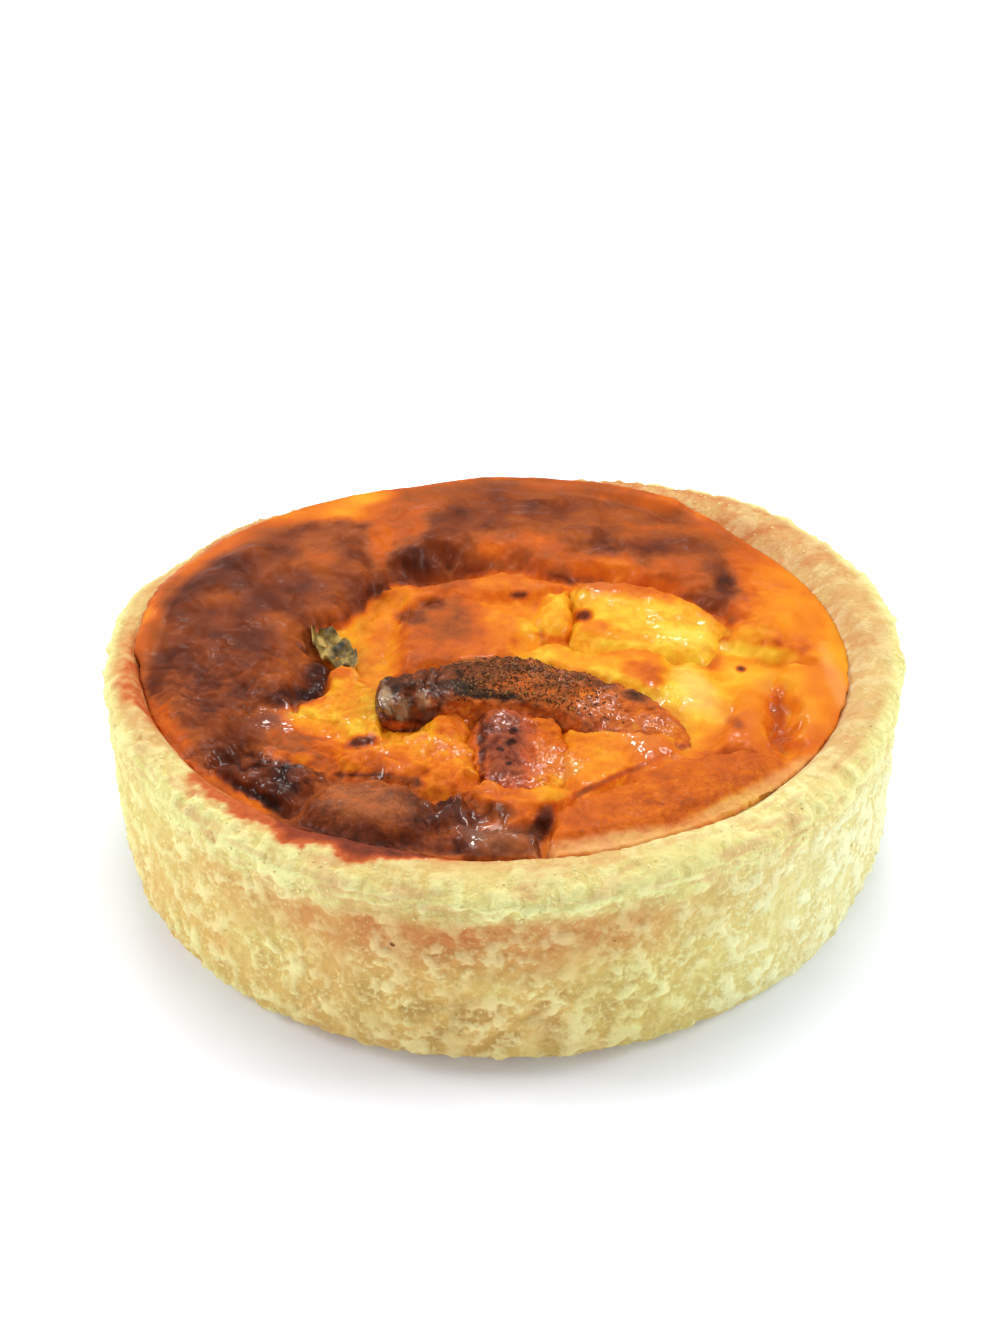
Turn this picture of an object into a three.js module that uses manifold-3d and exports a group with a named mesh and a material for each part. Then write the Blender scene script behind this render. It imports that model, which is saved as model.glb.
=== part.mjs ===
// An individual open quiche: a thick shortcrust case, hand-pressed and a little out of round, filled to
// the rim with egg custard that has risen, browned and torn open over the pieces baked into it.
// Millimetres, +Z up, +Y towards the back; the origin is the middle of the flat underside.
import * as THREE from "three";
import { mergeVertices } from "three/addons/utils/BufferGeometryUtils.js";
import Module from "manifold-3d";

const wasm = await Module();
wasm.setup();

// Driving dimensions of the pastry case.
const HEIGHT = 30;
const RIM_RADIUS = 55;
const BASE_RADIUS = 53.2;
const BASE_ROUND = 4.4;
const HOLLOW_RADIUS = 48.5;
const HOLLOW_TAPER = 2;
const HOLLOW_ROUND = 4;
const FLOOR = 5;
const RIM_OUTER_DROP = 2;
const RIM_INNER_DROP = 2;
const RIM_CREST = 0.42;
const BASE_SWELL_SHARE = 0.3;

// The rim is out of round by lobes that are fullest at an angle, and its hollow sits off centre.
const RIM_LOBES = [
  { count: 2, swell: 1.0, fullest: 45 },
  { count: 3, swell: 1.4, fullest: 33 },
  { count: 4, swell: 0.4, fullest: -33 },
];
const RIM_WAVES = [
  { count: 2, height: 0.4, highest: 45 },
  { count: 9, height: 0.2, highest: 10 },
  { count: 16, height: 0.12, highest: 4 },
];
const HOLLOW_SHIFT = new THREE.Vector2(-1.3, 1.3);
const DOUGH_LUMPS = { height: 0.45, length: 11 };

// Clearance between pieces that touch.
const GAP = 0.3;

// Surface of the custard: a level that climbs at the wall, domed plates of skin that lie over each
// other, and pits between them. half is a plate's half length and half width, turn the direction of
// its length, lean its rise from the middle to the +length and +width edges, crown its drop from the
// middle to the edge, and steep the slope of the broken edge. A plate comes down to the wall over hold.
const LEVEL = 26.8;
const WALL_CLIMB = { height: 1.3, reach: 5, hold: 3.2 };
const SKIN_BLEND = 0.9;
const CROWN_REACH = 1.5;
const CUSTARD_RIPPLE = { height: 0.22, length: 5 };
const PLATES = {
  leftDome: { at: [-37, 4], half: [21, 11.5], turn: 105, top: 31.2, lean: [0, 0], crown: 1.7, steep: 1.6 },
  backLeftHump: { at: [-27, 26], half: [14, 10], turn: 60, top: 30.6, lean: [0, 0], crown: 1.3, steep: 0.7 },
  backDome: { at: [9, 31], half: [26, 13], turn: -8, top: 31.8, lean: [0, 0], crown: 1.7, steep: 1.2 },
  middleSlab: { at: [-2, 3], half: [13, 12], turn: 0, top: 30, lean: [0, 0.6], crown: 0.8, steep: 1.5 },
  middleRoll: { at: [15, -2], half: [12, 4], turn: -20, top: 29.3, lean: [0, 0], crown: 1, steep: 1 },
  rightPlateau: { at: [40, 9], half: [14, 10], turn: 75, top: 30, lean: [0, 0], crown: 0.8, steep: 1.5 },
  rightBand: { at: [42, -11], half: [13, 5], turn: 80, top: 29, lean: [0, 0], crown: 0.6, steep: 1.2 },
  rightPeak: { at: [30, -19], half: [5, 4], turn: 90, top: 29.6, lean: [0, 0], crown: 1.2, steep: 1.2 },
  frontFlap: { at: [24, -33.5], half: [19, 8], turn: 26, top: 30.3, lean: [0, 0.5], crown: 1, steep: 1.6 },
  goldenSlope: { at: [14, -23], half: [9, 6], turn: 20, top: 28.8, lean: [0, 0], crown: 1.2, steep: 0.8 },
  frontLump: { at: [-15, -38], half: [10, 6.5], turn: -15, top: 30, lean: [0, 0], crown: 1.3, steep: 1.2 },
  frontBead: { at: [0, -43.5], half: [4.5, 3], turn: 0, top: 29.3, lean: [0, 0], crown: 1, steep: 1 },
  burntRidge: { at: [-29.5, -29], half: [9, 3.2], turn: -15, top: 30, lean: [0, 0], crown: 1, steep: 1.3 },
  yellowRidge: { at: [-12, -25], half: [9, 4], turn: 12, top: 29.8, lean: [0, 0.7], crown: 0.8, steep: 1.5 },
  tornLedge: { at: [-21, -14], half: [6, 6.5], turn: 0, top: 28.9, lean: [0, 1.4], crown: 0.6, steep: 1.7 },
  leftShelf: { at: [-28, -19], half: [9, 6], turn: -25, top: 28.3, lean: [0, 0], crown: 0.6, steep: 0.8 },
};
const PITS = {
  cave: { at: [-25, -2], half: [8, 3.5], turn: 100, depth: 2 },
  burntCrevice: { at: [-9, 29], half: [8, 2.5], turn: 5, depth: 2.5 },
  frontCrevice: { at: [4.5, -40.5], half: [4, 2], turn: 60, depth: 3 },
  rightFold: { at: [36, -14], half: [5, 1.8], turn: 80, depth: 2.5 },
};

// Custard that ran over the back of the rim, as a skin on it: the share of the rim's width that it covers
// at each angle. It climbs to the rim's height over the first lead of that share, and the rim lies lower
// by dip where it covers most.
const OVERFLOW = {
  angles: [20, 40, 56, 68, 80, 130, 150, 170, 192],
  shares: [0, 0.08, 0.28, 0.5, 0.62, 0.62, 0.56, 0.28, 0],
  lead: 0.06,
  dip: 1,
  thickness: 0.6,
  gap: 0.5,
};
const WIDEST_OVERFLOW = Math.max(...OVERFLOW.shares);

// Pieces baked into the custard.
const STRIP = {
  path: [[-16.4, -13.4, 28.3], [-8, -12.8, 29.3], [1, -12.4, 29.7], [12, -14.4, 28.5], [24.5, -20, 25.8]],
  halfWidth: 4.6,
  halfHeight: 3,
  squareness: 2.6,
  lean: 0.7,
  bluntness: 8,
  roughness: { height: 0.5, length: 6 },
};
const MEAT = {
  at: [2.9, -24.8, 27.2],
  half: [6.4, 10, 3],
  squareness: 2.6,
  turn: -4,
  tilt: 4,
  roll: 10,
  roughness: { height: 0.5, length: 7 },
};
const CHEESE = {
  at: [19, 9, 28],
  half: [10.6, 6.2, 3],
  squareness: 3.2,
  turn: -14,
  tilt: 9,
  roll: 0,
  roughness: { height: 0.5, length: 9 },
};
const LEAF = {
  at: [-24.3, 2],
  length: 12,
  width: 6.4,
  tip: 0.15,
  fullness: 0.7,
  turn: 118,
  thickness: 0.5,
  curl: 0.8,
  trough: 0.3,
  ripple: 0.4,
  waves: 2.5,
  lift: 0.7,
};

// Fineness of the faceted surfaces.
const CASE_SIDES = 76;
const FOOT_PIECES = 4;
const WALL_PIECES = 6;
const RIM_PIECES = 7;
const HOLLOW_PIECES = 4;
const CUSTARD_CELLS = 41;
const CUSTARD_SIDE_DEPTHS = [0.85, 0.95, 1];
const LIP_STEPS = [0, 0.35, 0.7, 1];
const LIP_EDGE = 0.4;
const LUMP_DETAIL = 5;
const STRIP_SIDES = 14;
const STRIP_STATIONS = 22;
const LEAF_CELLS = [12, 4];

const radians = THREE.MathUtils.degToRad;
const { clamp, lerp, smoothstep } = THREE.MathUtils;

// A gentle, repeatable unevenness from three crossed waves, between -1 and 1.
function unevenness(x, y, z, length) {
  const k = (2 * Math.PI) / length;
  const across = Math.sin(k * (0.9 * x + 0.4 * y - 0.5 * z) + 0.7);
  const along = Math.sin(k * (0.3 * y + 0.8 * z - 0.6 * x) + 2.1);
  const askew = Math.sin(k * (0.7 * x - 0.8 * y + 0.3 * z) + 4.4);
  return (across + along + askew) / 3;
}

function lobe(count, peak, angle) {
  return Math.cos(count * (angle - radians(peak)));
}

// Nominal radii of the case's two walls at a height.
function outerWall(z) {
  return lerp(BASE_RADIUS, RIM_RADIUS, z / HEIGHT);
}

function hollowWall(z) {
  const wall = HOLLOW_RADIUS - HOLLOW_TAPER * (1 - (z - FLOOR) / (HEIGHT - FLOOR));
  const intoCorner = clamp(FLOOR + HOLLOW_ROUND - z, 0, HOLLOW_ROUND);
  return wall - HOLLOW_ROUND + Math.sqrt(HOLLOW_ROUND ** 2 - intoCorner ** 2);
}

// How far the real walls stand outside the nominal ones.
function outerSwell(angle, z) {
  const share = lerp(BASE_SWELL_SHARE, 1, z / HEIGHT);
  const lobes = RIM_LOBES.map(({ count, swell, fullest }) => swell * lobe(count, fullest, angle));
  return share * lobes.reduce((sum, each) => sum + each);
}

function hollowOffset(angle) {
  return HOLLOW_SHIFT.x * Math.cos(angle) + HOLLOW_SHIFT.y * Math.sin(angle);
}

function rimWidth(angle) {
  return RIM_RADIUS + outerSwell(angle, HEIGHT) - HOLLOW_RADIUS - hollowOffset(angle);
}

// Share of the rim's width that the custard ran over, at an angle.
function overflowShare(angle) {
  const degrees = (THREE.MathUtils.radToDeg(angle) + 360) % 360;
  const next = OVERFLOW.angles.findIndex((at) => at > degrees);
  if (next < 1) return 0;
  const [from, to] = OVERFLOW.angles.slice(next - 1, next + 1);
  const [low, high] = OVERFLOW.shares.slice(next - 1, next + 1);
  return lerp(low, high, (degrees - from) / (to - from));
}

// Rise and fall of the rim, which lies lowest where the custard ran over it.
function rimLift(angle) {
  const waves = RIM_WAVES.map(({ count, height, highest }) => height * lobe(count, highest, angle));
  const dip = (OVERFLOW.dip * overflowShare(angle)) / WIDEST_OVERFLOW;
  return waves.reduce((sum, each) => sum + each) - dip;
}

// Solid from a closed geometry, and geometry from a solid.
function solidOf(geometry) {
  const bare = geometry.clone();
  bare.deleteAttribute("normal");
  bare.deleteAttribute("uv");
  const merged = mergeVertices(bare, 1e-4);
  const triVerts = new Uint32Array(merged.index.array);
  return new wasm.Manifold(
    new wasm.Mesh({ numProp: 3, vertProperties: merged.attributes.position.array, triVerts }),
  );
}

function geometryOf(solid) {
  const mesh = solid.getMesh();
  const geometry = new THREE.BufferGeometry();
  geometry.setAttribute("position", new THREE.BufferAttribute(mesh.vertProperties, mesh.numProp));
  geometry.setIndex(new THREE.BufferAttribute(mesh.triVerts, 1));
  geometry.computeVertexNormals();
  return geometry;
}

function largestBody(solid) {
  return solid.decompose().reduce((best, body) => (body.volume() > best.volume() ? body : best));
}

// Moves each vertex of a geometry to the place that a function gives for it.
function reshape(geometry, place) {
  const position = geometry.attributes.position;
  const point = new THREE.Vector3();
  for (let i = 0; i < position.count; i++) {
    point.fromBufferAttribute(position, i);
    place(point);
    position.setXYZ(i, point.x, point.y, point.z);
  }
  return geometry;
}

// The points of an arc from one angle to another, in degrees.
function arc(x, y, radius, from, to, pieces) {
  const curve = new THREE.EllipseCurve(x, y, radius, radius, radians(from), radians(to), to < from);
  return curve.getPoints(pieces);
}

// Evenly spaced points of a straight stretch, without its two ends.
function stretch(from, to, pieces) {
  return Array.from({ length: pieces - 1 }, (_, i) => from.clone().lerp(to, (i + 1) / pieces));
}

// The rim's top in section: a quarter ellipse outside the crest and a quarter wave inside it.
function rimTop(radius, angle) {
  const inner = HOLLOW_RADIUS + hollowOffset(angle);
  const across = clamp((radius - inner) / rimWidth(angle), 0, 1);
  const crest = HEIGHT + rimLift(angle);
  if (across > RIM_CREST) {
    const away = (across - RIM_CREST) / (1 - RIM_CREST);
    return crest - RIM_OUTER_DROP * (1 - Math.sqrt(1 - away * away));
  }
  const away = (RIM_CREST - across) / RIM_CREST;
  return crest - RIM_INNER_DROP * (1 - Math.cos((away * Math.PI) / 2));
}

// The case: its section turned about the axis, then swollen, shifted and lumped like pressed dough.
function pastryCase() {
  const rim = Array.from({ length: RIM_PIECES + 1 }, (_, i) => {
    const radius = lerp(RIM_RADIUS, HOLLOW_RADIUS, i / RIM_PIECES);
    return new THREE.Vector2(radius, HEIGHT);
  });
  const foot = arc(BASE_RADIUS - BASE_ROUND, BASE_ROUND, BASE_ROUND, -90, 0, FOOT_PIECES);
  const shoulder = rim[0].clone().setY(HEIGHT - RIM_OUTER_DROP);
  const corner = arc(0, FLOOR + HOLLOW_ROUND, HOLLOW_ROUND, 0, -90, FOOT_PIECES);
  corner.forEach((point) => point.setX(hollowWall(point.y)));
  const section = [
    new THREE.Vector2(0, 0),
    ...foot,
    ...stretch(foot.at(-1), shoulder, WALL_PIECES),
    ...rim,
    ...stretch(rim.at(-1), corner[0], HOLLOW_PIECES),
    ...corner,
    new THREE.Vector2(0, FLOOR),
  ];
  const turned = new THREE.LatheGeometry(section, CASE_SIDES).rotateX(Math.PI / 2);
  return reshape(turned, (point) => {
    const radius = Math.hypot(point.x, point.y);
    if (radius < GAP) {
      point.set(0, 0, point.z);
      return;
    }
    const angle = Math.atan2(point.y, point.x);
    const outer = outerWall(point.z);
    const inner = hollowWall(Math.max(point.z, FLOOR));
    const outside = point.z < FLOOR - GAP ? 1 : clamp((radius - inner) / (outer - inner), 0, 1);
    const swollen = radius + lerp(hollowOffset(angle), outerSwell(angle, point.z), outside);
    const lump = DOUGH_LUMPS.height * unevenness(point.x, point.y, point.z, DOUGH_LUMPS.length);
    const onWall = outside * smoothstep(point.z, 0, BASE_ROUND);
    const reach = swollen + lump * onWall;
    const onRim = point.z > HEIGHT - GAP;
    point.x = reach * Math.cos(angle);
    point.y = reach * Math.sin(angle);
    if (onRim) point.z = rimTop(reach, angle);
  });
}

// Place of a point along and across a plate or pit.
function local({ at, half, turn }, x, y) {
  const cos = Math.cos(radians(turn));
  const sin = Math.sin(radians(turn));
  const along = ((x - at[0]) * cos + (y - at[1]) * sin) / half[0];
  const across = ((y - at[1]) * cos - (x - at[0]) * sin) / half[1];
  return { along, across, out: Math.hypot(along, across) };
}

function plateTop(plate, x, y) {
  const { along, across, out } = local(plate, x, y);
  const lean = plate.lean[0] * clamp(along, -1, 1) + plate.lean[1] * clamp(across, -1, 1);
  const beyond = Math.max(0, out - 1) * Math.min(...plate.half);
  return plate.top + lean - plate.crown * Math.min(out, CROWN_REACH) ** 2 - plate.steep * beyond;
}

function pitDepth(pit, x, y) {
  const { out } = local(pit, x, y);
  return pit.depth * Math.exp(-out * out);
}

// The higher of two surfaces, with the crease between them softened.
function softMax(a, b, blend) {
  const overlap = clamp(1 - Math.abs(a - b) / blend, 0, 1);
  return Math.max(a, b) + (blend * overlap * overlap) / 4;
}

// How far the custard has climbed towards the rim's height at an angle, and its reach over the rim.
function overflow(angle) {
  const share = overflowShare(angle);
  const lift = smoothstep(share, 0, OVERFLOW.lead);
  const reach = rimWidth(angle) * share * smoothstep(share, OVERFLOW.lead, 3 * OVERFLOW.lead);
  return { lift, reach };
}

// The lowest surface that clears the rim.
function rimCover(radius, angle) {
  return rimTop(radius, angle) + OVERFLOW.gap;
}

// Height of the custard's surface.
function custardTop(x, y) {
  const radius = Math.hypot(x, y);
  const angle = Math.atan2(y, x);
  const wall = HOLLOW_RADIUS + hollowOffset(angle);
  const crest = wall + RIM_CREST * rimWidth(angle);
  const skinTop = rimCover(Math.max(radius, crest), angle) + OVERFLOW.thickness;
  const wallTop = lerp(LEVEL + WALL_CLIMB.height, skinTop, overflow(angle).lift);
  let top = lerp(LEVEL, wallTop, smoothstep(radius, wall - WALL_CLIMB.reach, wall));
  if (radius > wall - GAP) return top;
  const atWall = smoothstep(radius, wall - WALL_CLIMB.hold, wall);
  for (const plate of Object.values(PLATES)) {
    const height = plateTop(plate, x, y);
    top = softMax(top, height + atWall * Math.min(0, wallTop - height), SKIN_BLEND);
  }
  for (const pit of Object.values(PITS)) top -= pitDepth(pit, x, y);
  return top + CUSTARD_RIPPLE.height * unevenness(x, y, 0, CUSTARD_RIPPLE.length);
}

// The border of a plane divided into cells, clockwise from above, as numbers of its vertices.
function borderOf(alongCells, acrossCells) {
  const row = alongCells + 1;
  const last = row * (acrossCells + 1) - 1;
  const back = Array.from({ length: alongCells }, (_, i) => i);
  const right = Array.from({ length: acrossCells }, (_, i) => i * row + alongCells);
  const front = Array.from({ length: alongCells }, (_, i) => last - i);
  const left = Array.from({ length: acrossCells }, (_, i) => last - alongCells - i * row);
  return [...back, ...right, ...front, ...left];
}

// Triangles of the wall between a border and the border below it.
function wallBetween(upper, lower) {
  return upper.flatMap((from, i) => {
    const next = (i + 1) % upper.length;
    return [from, upper[next], lower[next], from, lower[next], lower[i]];
  });
}

function indexedGeometry(points, index) {
  const geometry = new THREE.BufferGeometry();
  geometry.setAttribute("position", new THREE.Float32BufferAttribute(points, 3));
  geometry.setIndex(index);
  return geometry;
}

// The custard without the pieces in it: a square sheet rounded to the hollow, with a lip that lies on
// the rim where the custard ran over, closed by the hollow's wall and floor.
function custardBlock() {
  const sheet = new THREE.PlaneGeometry(2, 2, CUSTARD_CELLS, CUSTARD_CELLS);
  const corners = sheet.attributes.position;
  const points = [];
  const addPoint = (angle, radius, z) => {
    return points.push(radius * Math.cos(angle), radius * Math.sin(angle), z) / 3 - 1;
  };
  const polar = (corner) => {
    const [u, v] = [corners.getX(corner), corners.getY(corner)];
    const [x, y] = [u * Math.sqrt(1 - (v * v) / 2), v * Math.sqrt(1 - (u * u) / 2)];
    return { angle: Math.atan2(y, x), share: Math.hypot(x, y) };
  };
  const wallAt = (angle, z) => hollowWall(Math.min(z, HEIGHT)) + hollowOffset(angle) - GAP;
  for (let corner = 0; corner < corners.count; corner++) {
    const { angle, share } = polar(corner);
    const radius = share * (wallAt(angle, HEIGHT) + overflow(angle).reach);
    addPoint(angle, radius, custardTop(radius * Math.cos(angle), radius * Math.sin(angle)));
  }
  const index = Array.from(sheet.index.array);
  const border = borderOf(CUSTARD_CELLS, CUSTARD_CELLS);
  const angles = border.map((corner) => polar(corner).angle);
  let above = border;
  const addRing = (place) => {
    const below = angles.map((angle, i) => place(angle, points[border[i] * 3 + 2]));
    index.push(...wallBetween(above, below));
    above = below;
  };
  const lipUnder = (angle, top, back) => {
    const radius = wallAt(angle, HEIGHT) + overflow(angle).reach * (1 - back);
    const z = overflow(angle).reach > 0 ? rimCover(radius, angle) : top - LIP_EDGE * (1 + back);
    return { radius, z };
  };
  for (const back of LIP_STEPS) {
    addRing((angle, top) => {
      const { radius, z } = lipUnder(angle, top, back);
      return addPoint(angle, radius, z);
    });
  }
  for (const depth of CUSTARD_SIDE_DEPTHS) {
    addRing((angle, top) => {
      const z = lerp(lipUnder(angle, top, 1).z, FLOOR + GAP, depth);
      return addPoint(angle, wallAt(angle, z), z);
    });
  }
  const middle = points.push(0, 0, FLOOR + GAP) / 3 - 1;
  above.forEach((from, i) => index.push(middle, from, above[(i + 1) % above.length]));
  return indexedGeometry(points, index);
}

// A lump of food, part way from a ball to a block, with an uneven surface, its back raised by tilt and its
// left side by roll. grow makes it larger all round.
function lump({ at, half, squareness, turn, tilt, roll, roughness }, grow = 0) {
  const ball = new THREE.IcosahedronGeometry(1, LUMP_DETAIL);
  reshape(ball, (point) => {
    const power = point.toArray().reduce((sum, each) => sum + Math.abs(each) ** squareness, 0);
    point.divideScalar(power ** (1 / squareness));
    const [x, y, z] = [point.x * half[0], point.y * half[1], point.z * half[2]];
    const knob = roughness.height * unevenness(x + at[0], y + at[1], z, roughness.length) + grow;
    point.set(x + point.x * knob, y + point.y * knob, z + point.z * knob);
  });
  return ball.rotateY(radians(roll)).rotateX(radians(tilt)).rotateZ(radians(turn)).translate(...at);
}

// The charred strip: rings of a squared oval along an arched path, blunt at both ends, with a roof that
// leans to the front.
function charredStrip(grow = 0) {
  const path = new THREE.CatmullRomCurve3(STRIP.path.map((point) => new THREE.Vector3(...point)));
  const { halfWidth, halfHeight, squareness, lean, bluntness, roughness } = STRIP;
  const body = new THREE.SphereGeometry(1, STRIP_SIDES, STRIP_STATIONS).rotateZ(Math.PI / 2);
  return reshape(body, (point) => {
    const station = Math.acos(clamp(-point.x, -1, 1)) / Math.PI;
    const fullness = Math.sqrt(1 - Math.abs(2 * station - 1) ** bluntness);
    const round = (Math.abs(point.y) ** squareness + Math.abs(point.z) ** squareness) ** (1 / squareness);
    const centre = path.getPoint(station);
    const [sideways, upwards] = round > 1e-6 ? [point.y / round, point.z / round] : [0, 0];
    const [y, z] = [sideways * halfWidth, upwards * halfHeight];
    const knob = roughness.height * unevenness(centre.x, y, z, roughness.length) + grow;
    const endwards = grow * Math.sign(point.x) * (fullness < 0.5 ? 1 : 0);
    point.set(
      centre.x + endwards,
      centre.y + fullness * (y + sideways * knob),
      centre.z + fullness * (z + upwards * knob + lean * sideways),
    );
  });
}

// The herb leaf: a thin wavy blade with a pointed outline, both faces split alike.
function herbLeaf(grow = 0) {
  const [alongCells, acrossCells] = LEAF_CELLS;
  const sheet = new THREE.PlaneGeometry(1, 1, alongCells, acrossCells);
  const corners = sheet.attributes.position;
  const perFace = corners.count;
  const cos = Math.cos(radians(LEAF.turn));
  const sin = Math.sin(radians(LEAF.turn));
  const points = [];
  for (const face of [1, -1]) {
    for (let i = 0; i < perFace; i++) {
      const along = corners.getX(i) * 2;
      const across = corners.getY(i) * 2;
      const outline = lerp(LEAF.tip, 1, Math.cos((along * Math.PI) / 2) ** LEAF.fullness);
      const u = along * (LEAF.length / 2 + grow);
      const v = across * outline * (LEAF.width / 2 + grow);
      const x = LEAF.at[0] + u * cos - v * sin;
      const y = LEAF.at[1] + u * sin + v * cos;
      const ripple = LEAF.ripple * Math.sin(LEAF.waves * along * Math.PI);
      const wave = LEAF.curl * (across * across - LEAF.trough + ripple);
      points.push(x, y, custardTop(x, y) + LEAF.lift + wave + face * (LEAF.thickness / 2 + grow));
    }
  }
  const upper = Array.from(sheet.index.array);
  const lower = upper.map((_, i) => perFace + upper[i - (i % 3) + (2 - (i % 3))]);
  const border = borderOf(alongCells, acrossCells);
  const edge = wallBetween(border, border.map((corner) => corner + perFace));
  return indexedGeometry(points, [...upper, ...lower, ...edge]);
}

// The custard with a pocket, a gap wider, for each piece baked into it.
function custardFilling() {
  let filling = solidOf(custardBlock());
  for (const piece of [charredStrip(GAP), lump(MEAT, GAP), lump(CHEESE, GAP), herbLeaf(GAP)]) {
    filling = filling.subtract(solidOf(piece));
  }
  return geometryOf(largestBody(filling));
}

// The meat is pressed against the strip, so its end is cut to it.
function brownedMeat() {
  return geometryOf(largestBody(solidOf(lump(MEAT)).subtract(solidOf(charredStrip(GAP)))));
}

function part(name, geometry, color, roughness) {
  const material = new THREE.MeshStandardMaterial({ color, roughness, metalness: 0 });
  const mesh = new THREE.Mesh(geometry, material);
  mesh.name = name;
  return mesh;
}

const quiche = new THREE.Group();
quiche.name = "quiche";
quiche.add(
  part("pastry_case", pastryCase(), "#ead79a", 0.85),
  part("custard_filling", custardFilling(), "#c9702c", 0.45),
  part("charred_strip", charredStrip(), "#6b3d24", 0.5),
  part("browned_meat", brownedMeat(), "#8f4b32", 0.45),
  part("golden_chunk", lump(CHEESE), "#f4c14a", 0.4),
  part("herb_leaf", herbLeaf(), "#7d7434", 0.6),
);

export default quiche;
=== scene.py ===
import math

import bpy
import numpy as np
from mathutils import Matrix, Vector, noise


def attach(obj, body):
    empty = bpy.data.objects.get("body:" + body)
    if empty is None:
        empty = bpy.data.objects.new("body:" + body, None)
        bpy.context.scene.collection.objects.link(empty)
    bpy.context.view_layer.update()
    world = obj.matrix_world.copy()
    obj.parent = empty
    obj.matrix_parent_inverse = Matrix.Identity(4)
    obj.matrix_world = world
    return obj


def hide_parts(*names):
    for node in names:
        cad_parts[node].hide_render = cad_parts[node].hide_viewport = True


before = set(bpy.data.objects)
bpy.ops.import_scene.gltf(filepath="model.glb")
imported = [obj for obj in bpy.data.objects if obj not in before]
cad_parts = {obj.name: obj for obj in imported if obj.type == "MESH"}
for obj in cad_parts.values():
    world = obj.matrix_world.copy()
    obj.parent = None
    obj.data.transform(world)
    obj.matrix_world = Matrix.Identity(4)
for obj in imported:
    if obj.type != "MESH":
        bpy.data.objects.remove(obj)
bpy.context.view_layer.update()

# Pastry case: base, straight wall and thick rim of shortcrust in one piece, pressed by hand into a ring,
# so it is a little out of round. Sizes in millimetres, angles in degrees from the right-hand side.
MM = 0.001
HEIGHT = 30.0
RIM_RADIUS = 55.0
RIM_OUTER_DROP = 2.0
RIM_INNER_DROP = 2.0
RIM_CREST = 0.42
BASE_RADIUS = 53.2
BASE_ROUND = 4.4
BASE_SWELL_SHARE = 0.3
HOLLOW_RADIUS = 48.5
HOLLOW_TAPER = 2.0
HOLLOW_SHIFT = (-1.3, 1.3)
FLOOR = 5.0
RIM_LOBES = [(2, 1.0, 45), (3, 1.4, 33), (4, 0.4, -33)]
RIM_WAVES = [(2, 0.4, 45), (9, 0.2, 10), (16, 0.12, 4)]
OVERFLOW_ANGLES = [20, 40, 56, 68, 80, 130, 150, 170, 192]
OVERFLOW_SHARES = [0, 0.02, 0.12, 0.38, 0.62, 0.62, 0.6, 0.34, 0]
OVERFLOW_DIP = 1.0
CASE_SIDES = 760
UNDER_RADII = (20.0, 38.0, 46.0)
FOOT_STEPS = 12
WALL_STEPS = 54
RIM_OUTER_STEPS = 14
RIM_INNER_STEPS = 11
RIM_EDGE_TURN = 0.15
INSIDE_HEIGHTS = (27.4, 27.0, 26.0, 24.0, 18.0, 10.0, 6.0)
FLOOR_RADII = (44.0, 20.0)


def smooth(value, low, high):
    """Eases from 0 at the low value to 1 at the high one."""
    share = np.clip((value - low) / (high - low), 0, 1)
    return share * share * (3 - 2 * share)


def lobes(rows, angle):
    """Waves round the axis, each with its count, its size and the angle of a peak."""
    return sum(size * np.cos(count * (angle - math.radians(peak))) for count, size, peak in rows)


def outer_swell(angle, z):
    return (BASE_SWELL_SHARE + (1 - BASE_SWELL_SHARE) * z / HEIGHT) * lobes(RIM_LOBES, angle)


def hollow_offset(angle):
    return HOLLOW_SHIFT[0] * np.cos(angle) + HOLLOW_SHIFT[1] * np.sin(angle)


def hollow_edge(angle):
    return HOLLOW_RADIUS + hollow_offset(angle)


def rim_edge(angle):
    return RIM_RADIUS + outer_swell(angle, HEIGHT)


def overflow_share(angle):
    """How much of the rim's width the custard ran over, at an angle."""
    return np.interp(np.degrees(angle) % 360, OVERFLOW_ANGLES, OVERFLOW_SHARES)


def rim_lift(angle):
    """Rise and fall of the rim, lowest at the back, where the custard ran over it."""
    return lobes(RIM_WAVES, angle) - OVERFLOW_DIP * overflow_share(angle) / max(OVERFLOW_SHARES)


def rim_top(radius, angle):
    """Height of the rim, rounded off on both sides of its crest."""
    across = np.clip((radius - hollow_edge(angle)) / (rim_edge(angle) - hollow_edge(angle)), 0, 1)
    outer = across > RIM_CREST
    drop = np.where(outer, RIM_OUTER_DROP, RIM_INNER_DROP)
    away = np.where(outer, (across - RIM_CREST) / (1 - RIM_CREST), (RIM_CREST - across) / RIM_CREST)
    fall = np.where(outer, 1 - np.sqrt(1 - away**2), 1 - np.cos(away * math.pi / 2))
    return HEIGHT + rim_lift(angle) - drop * fall


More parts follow.
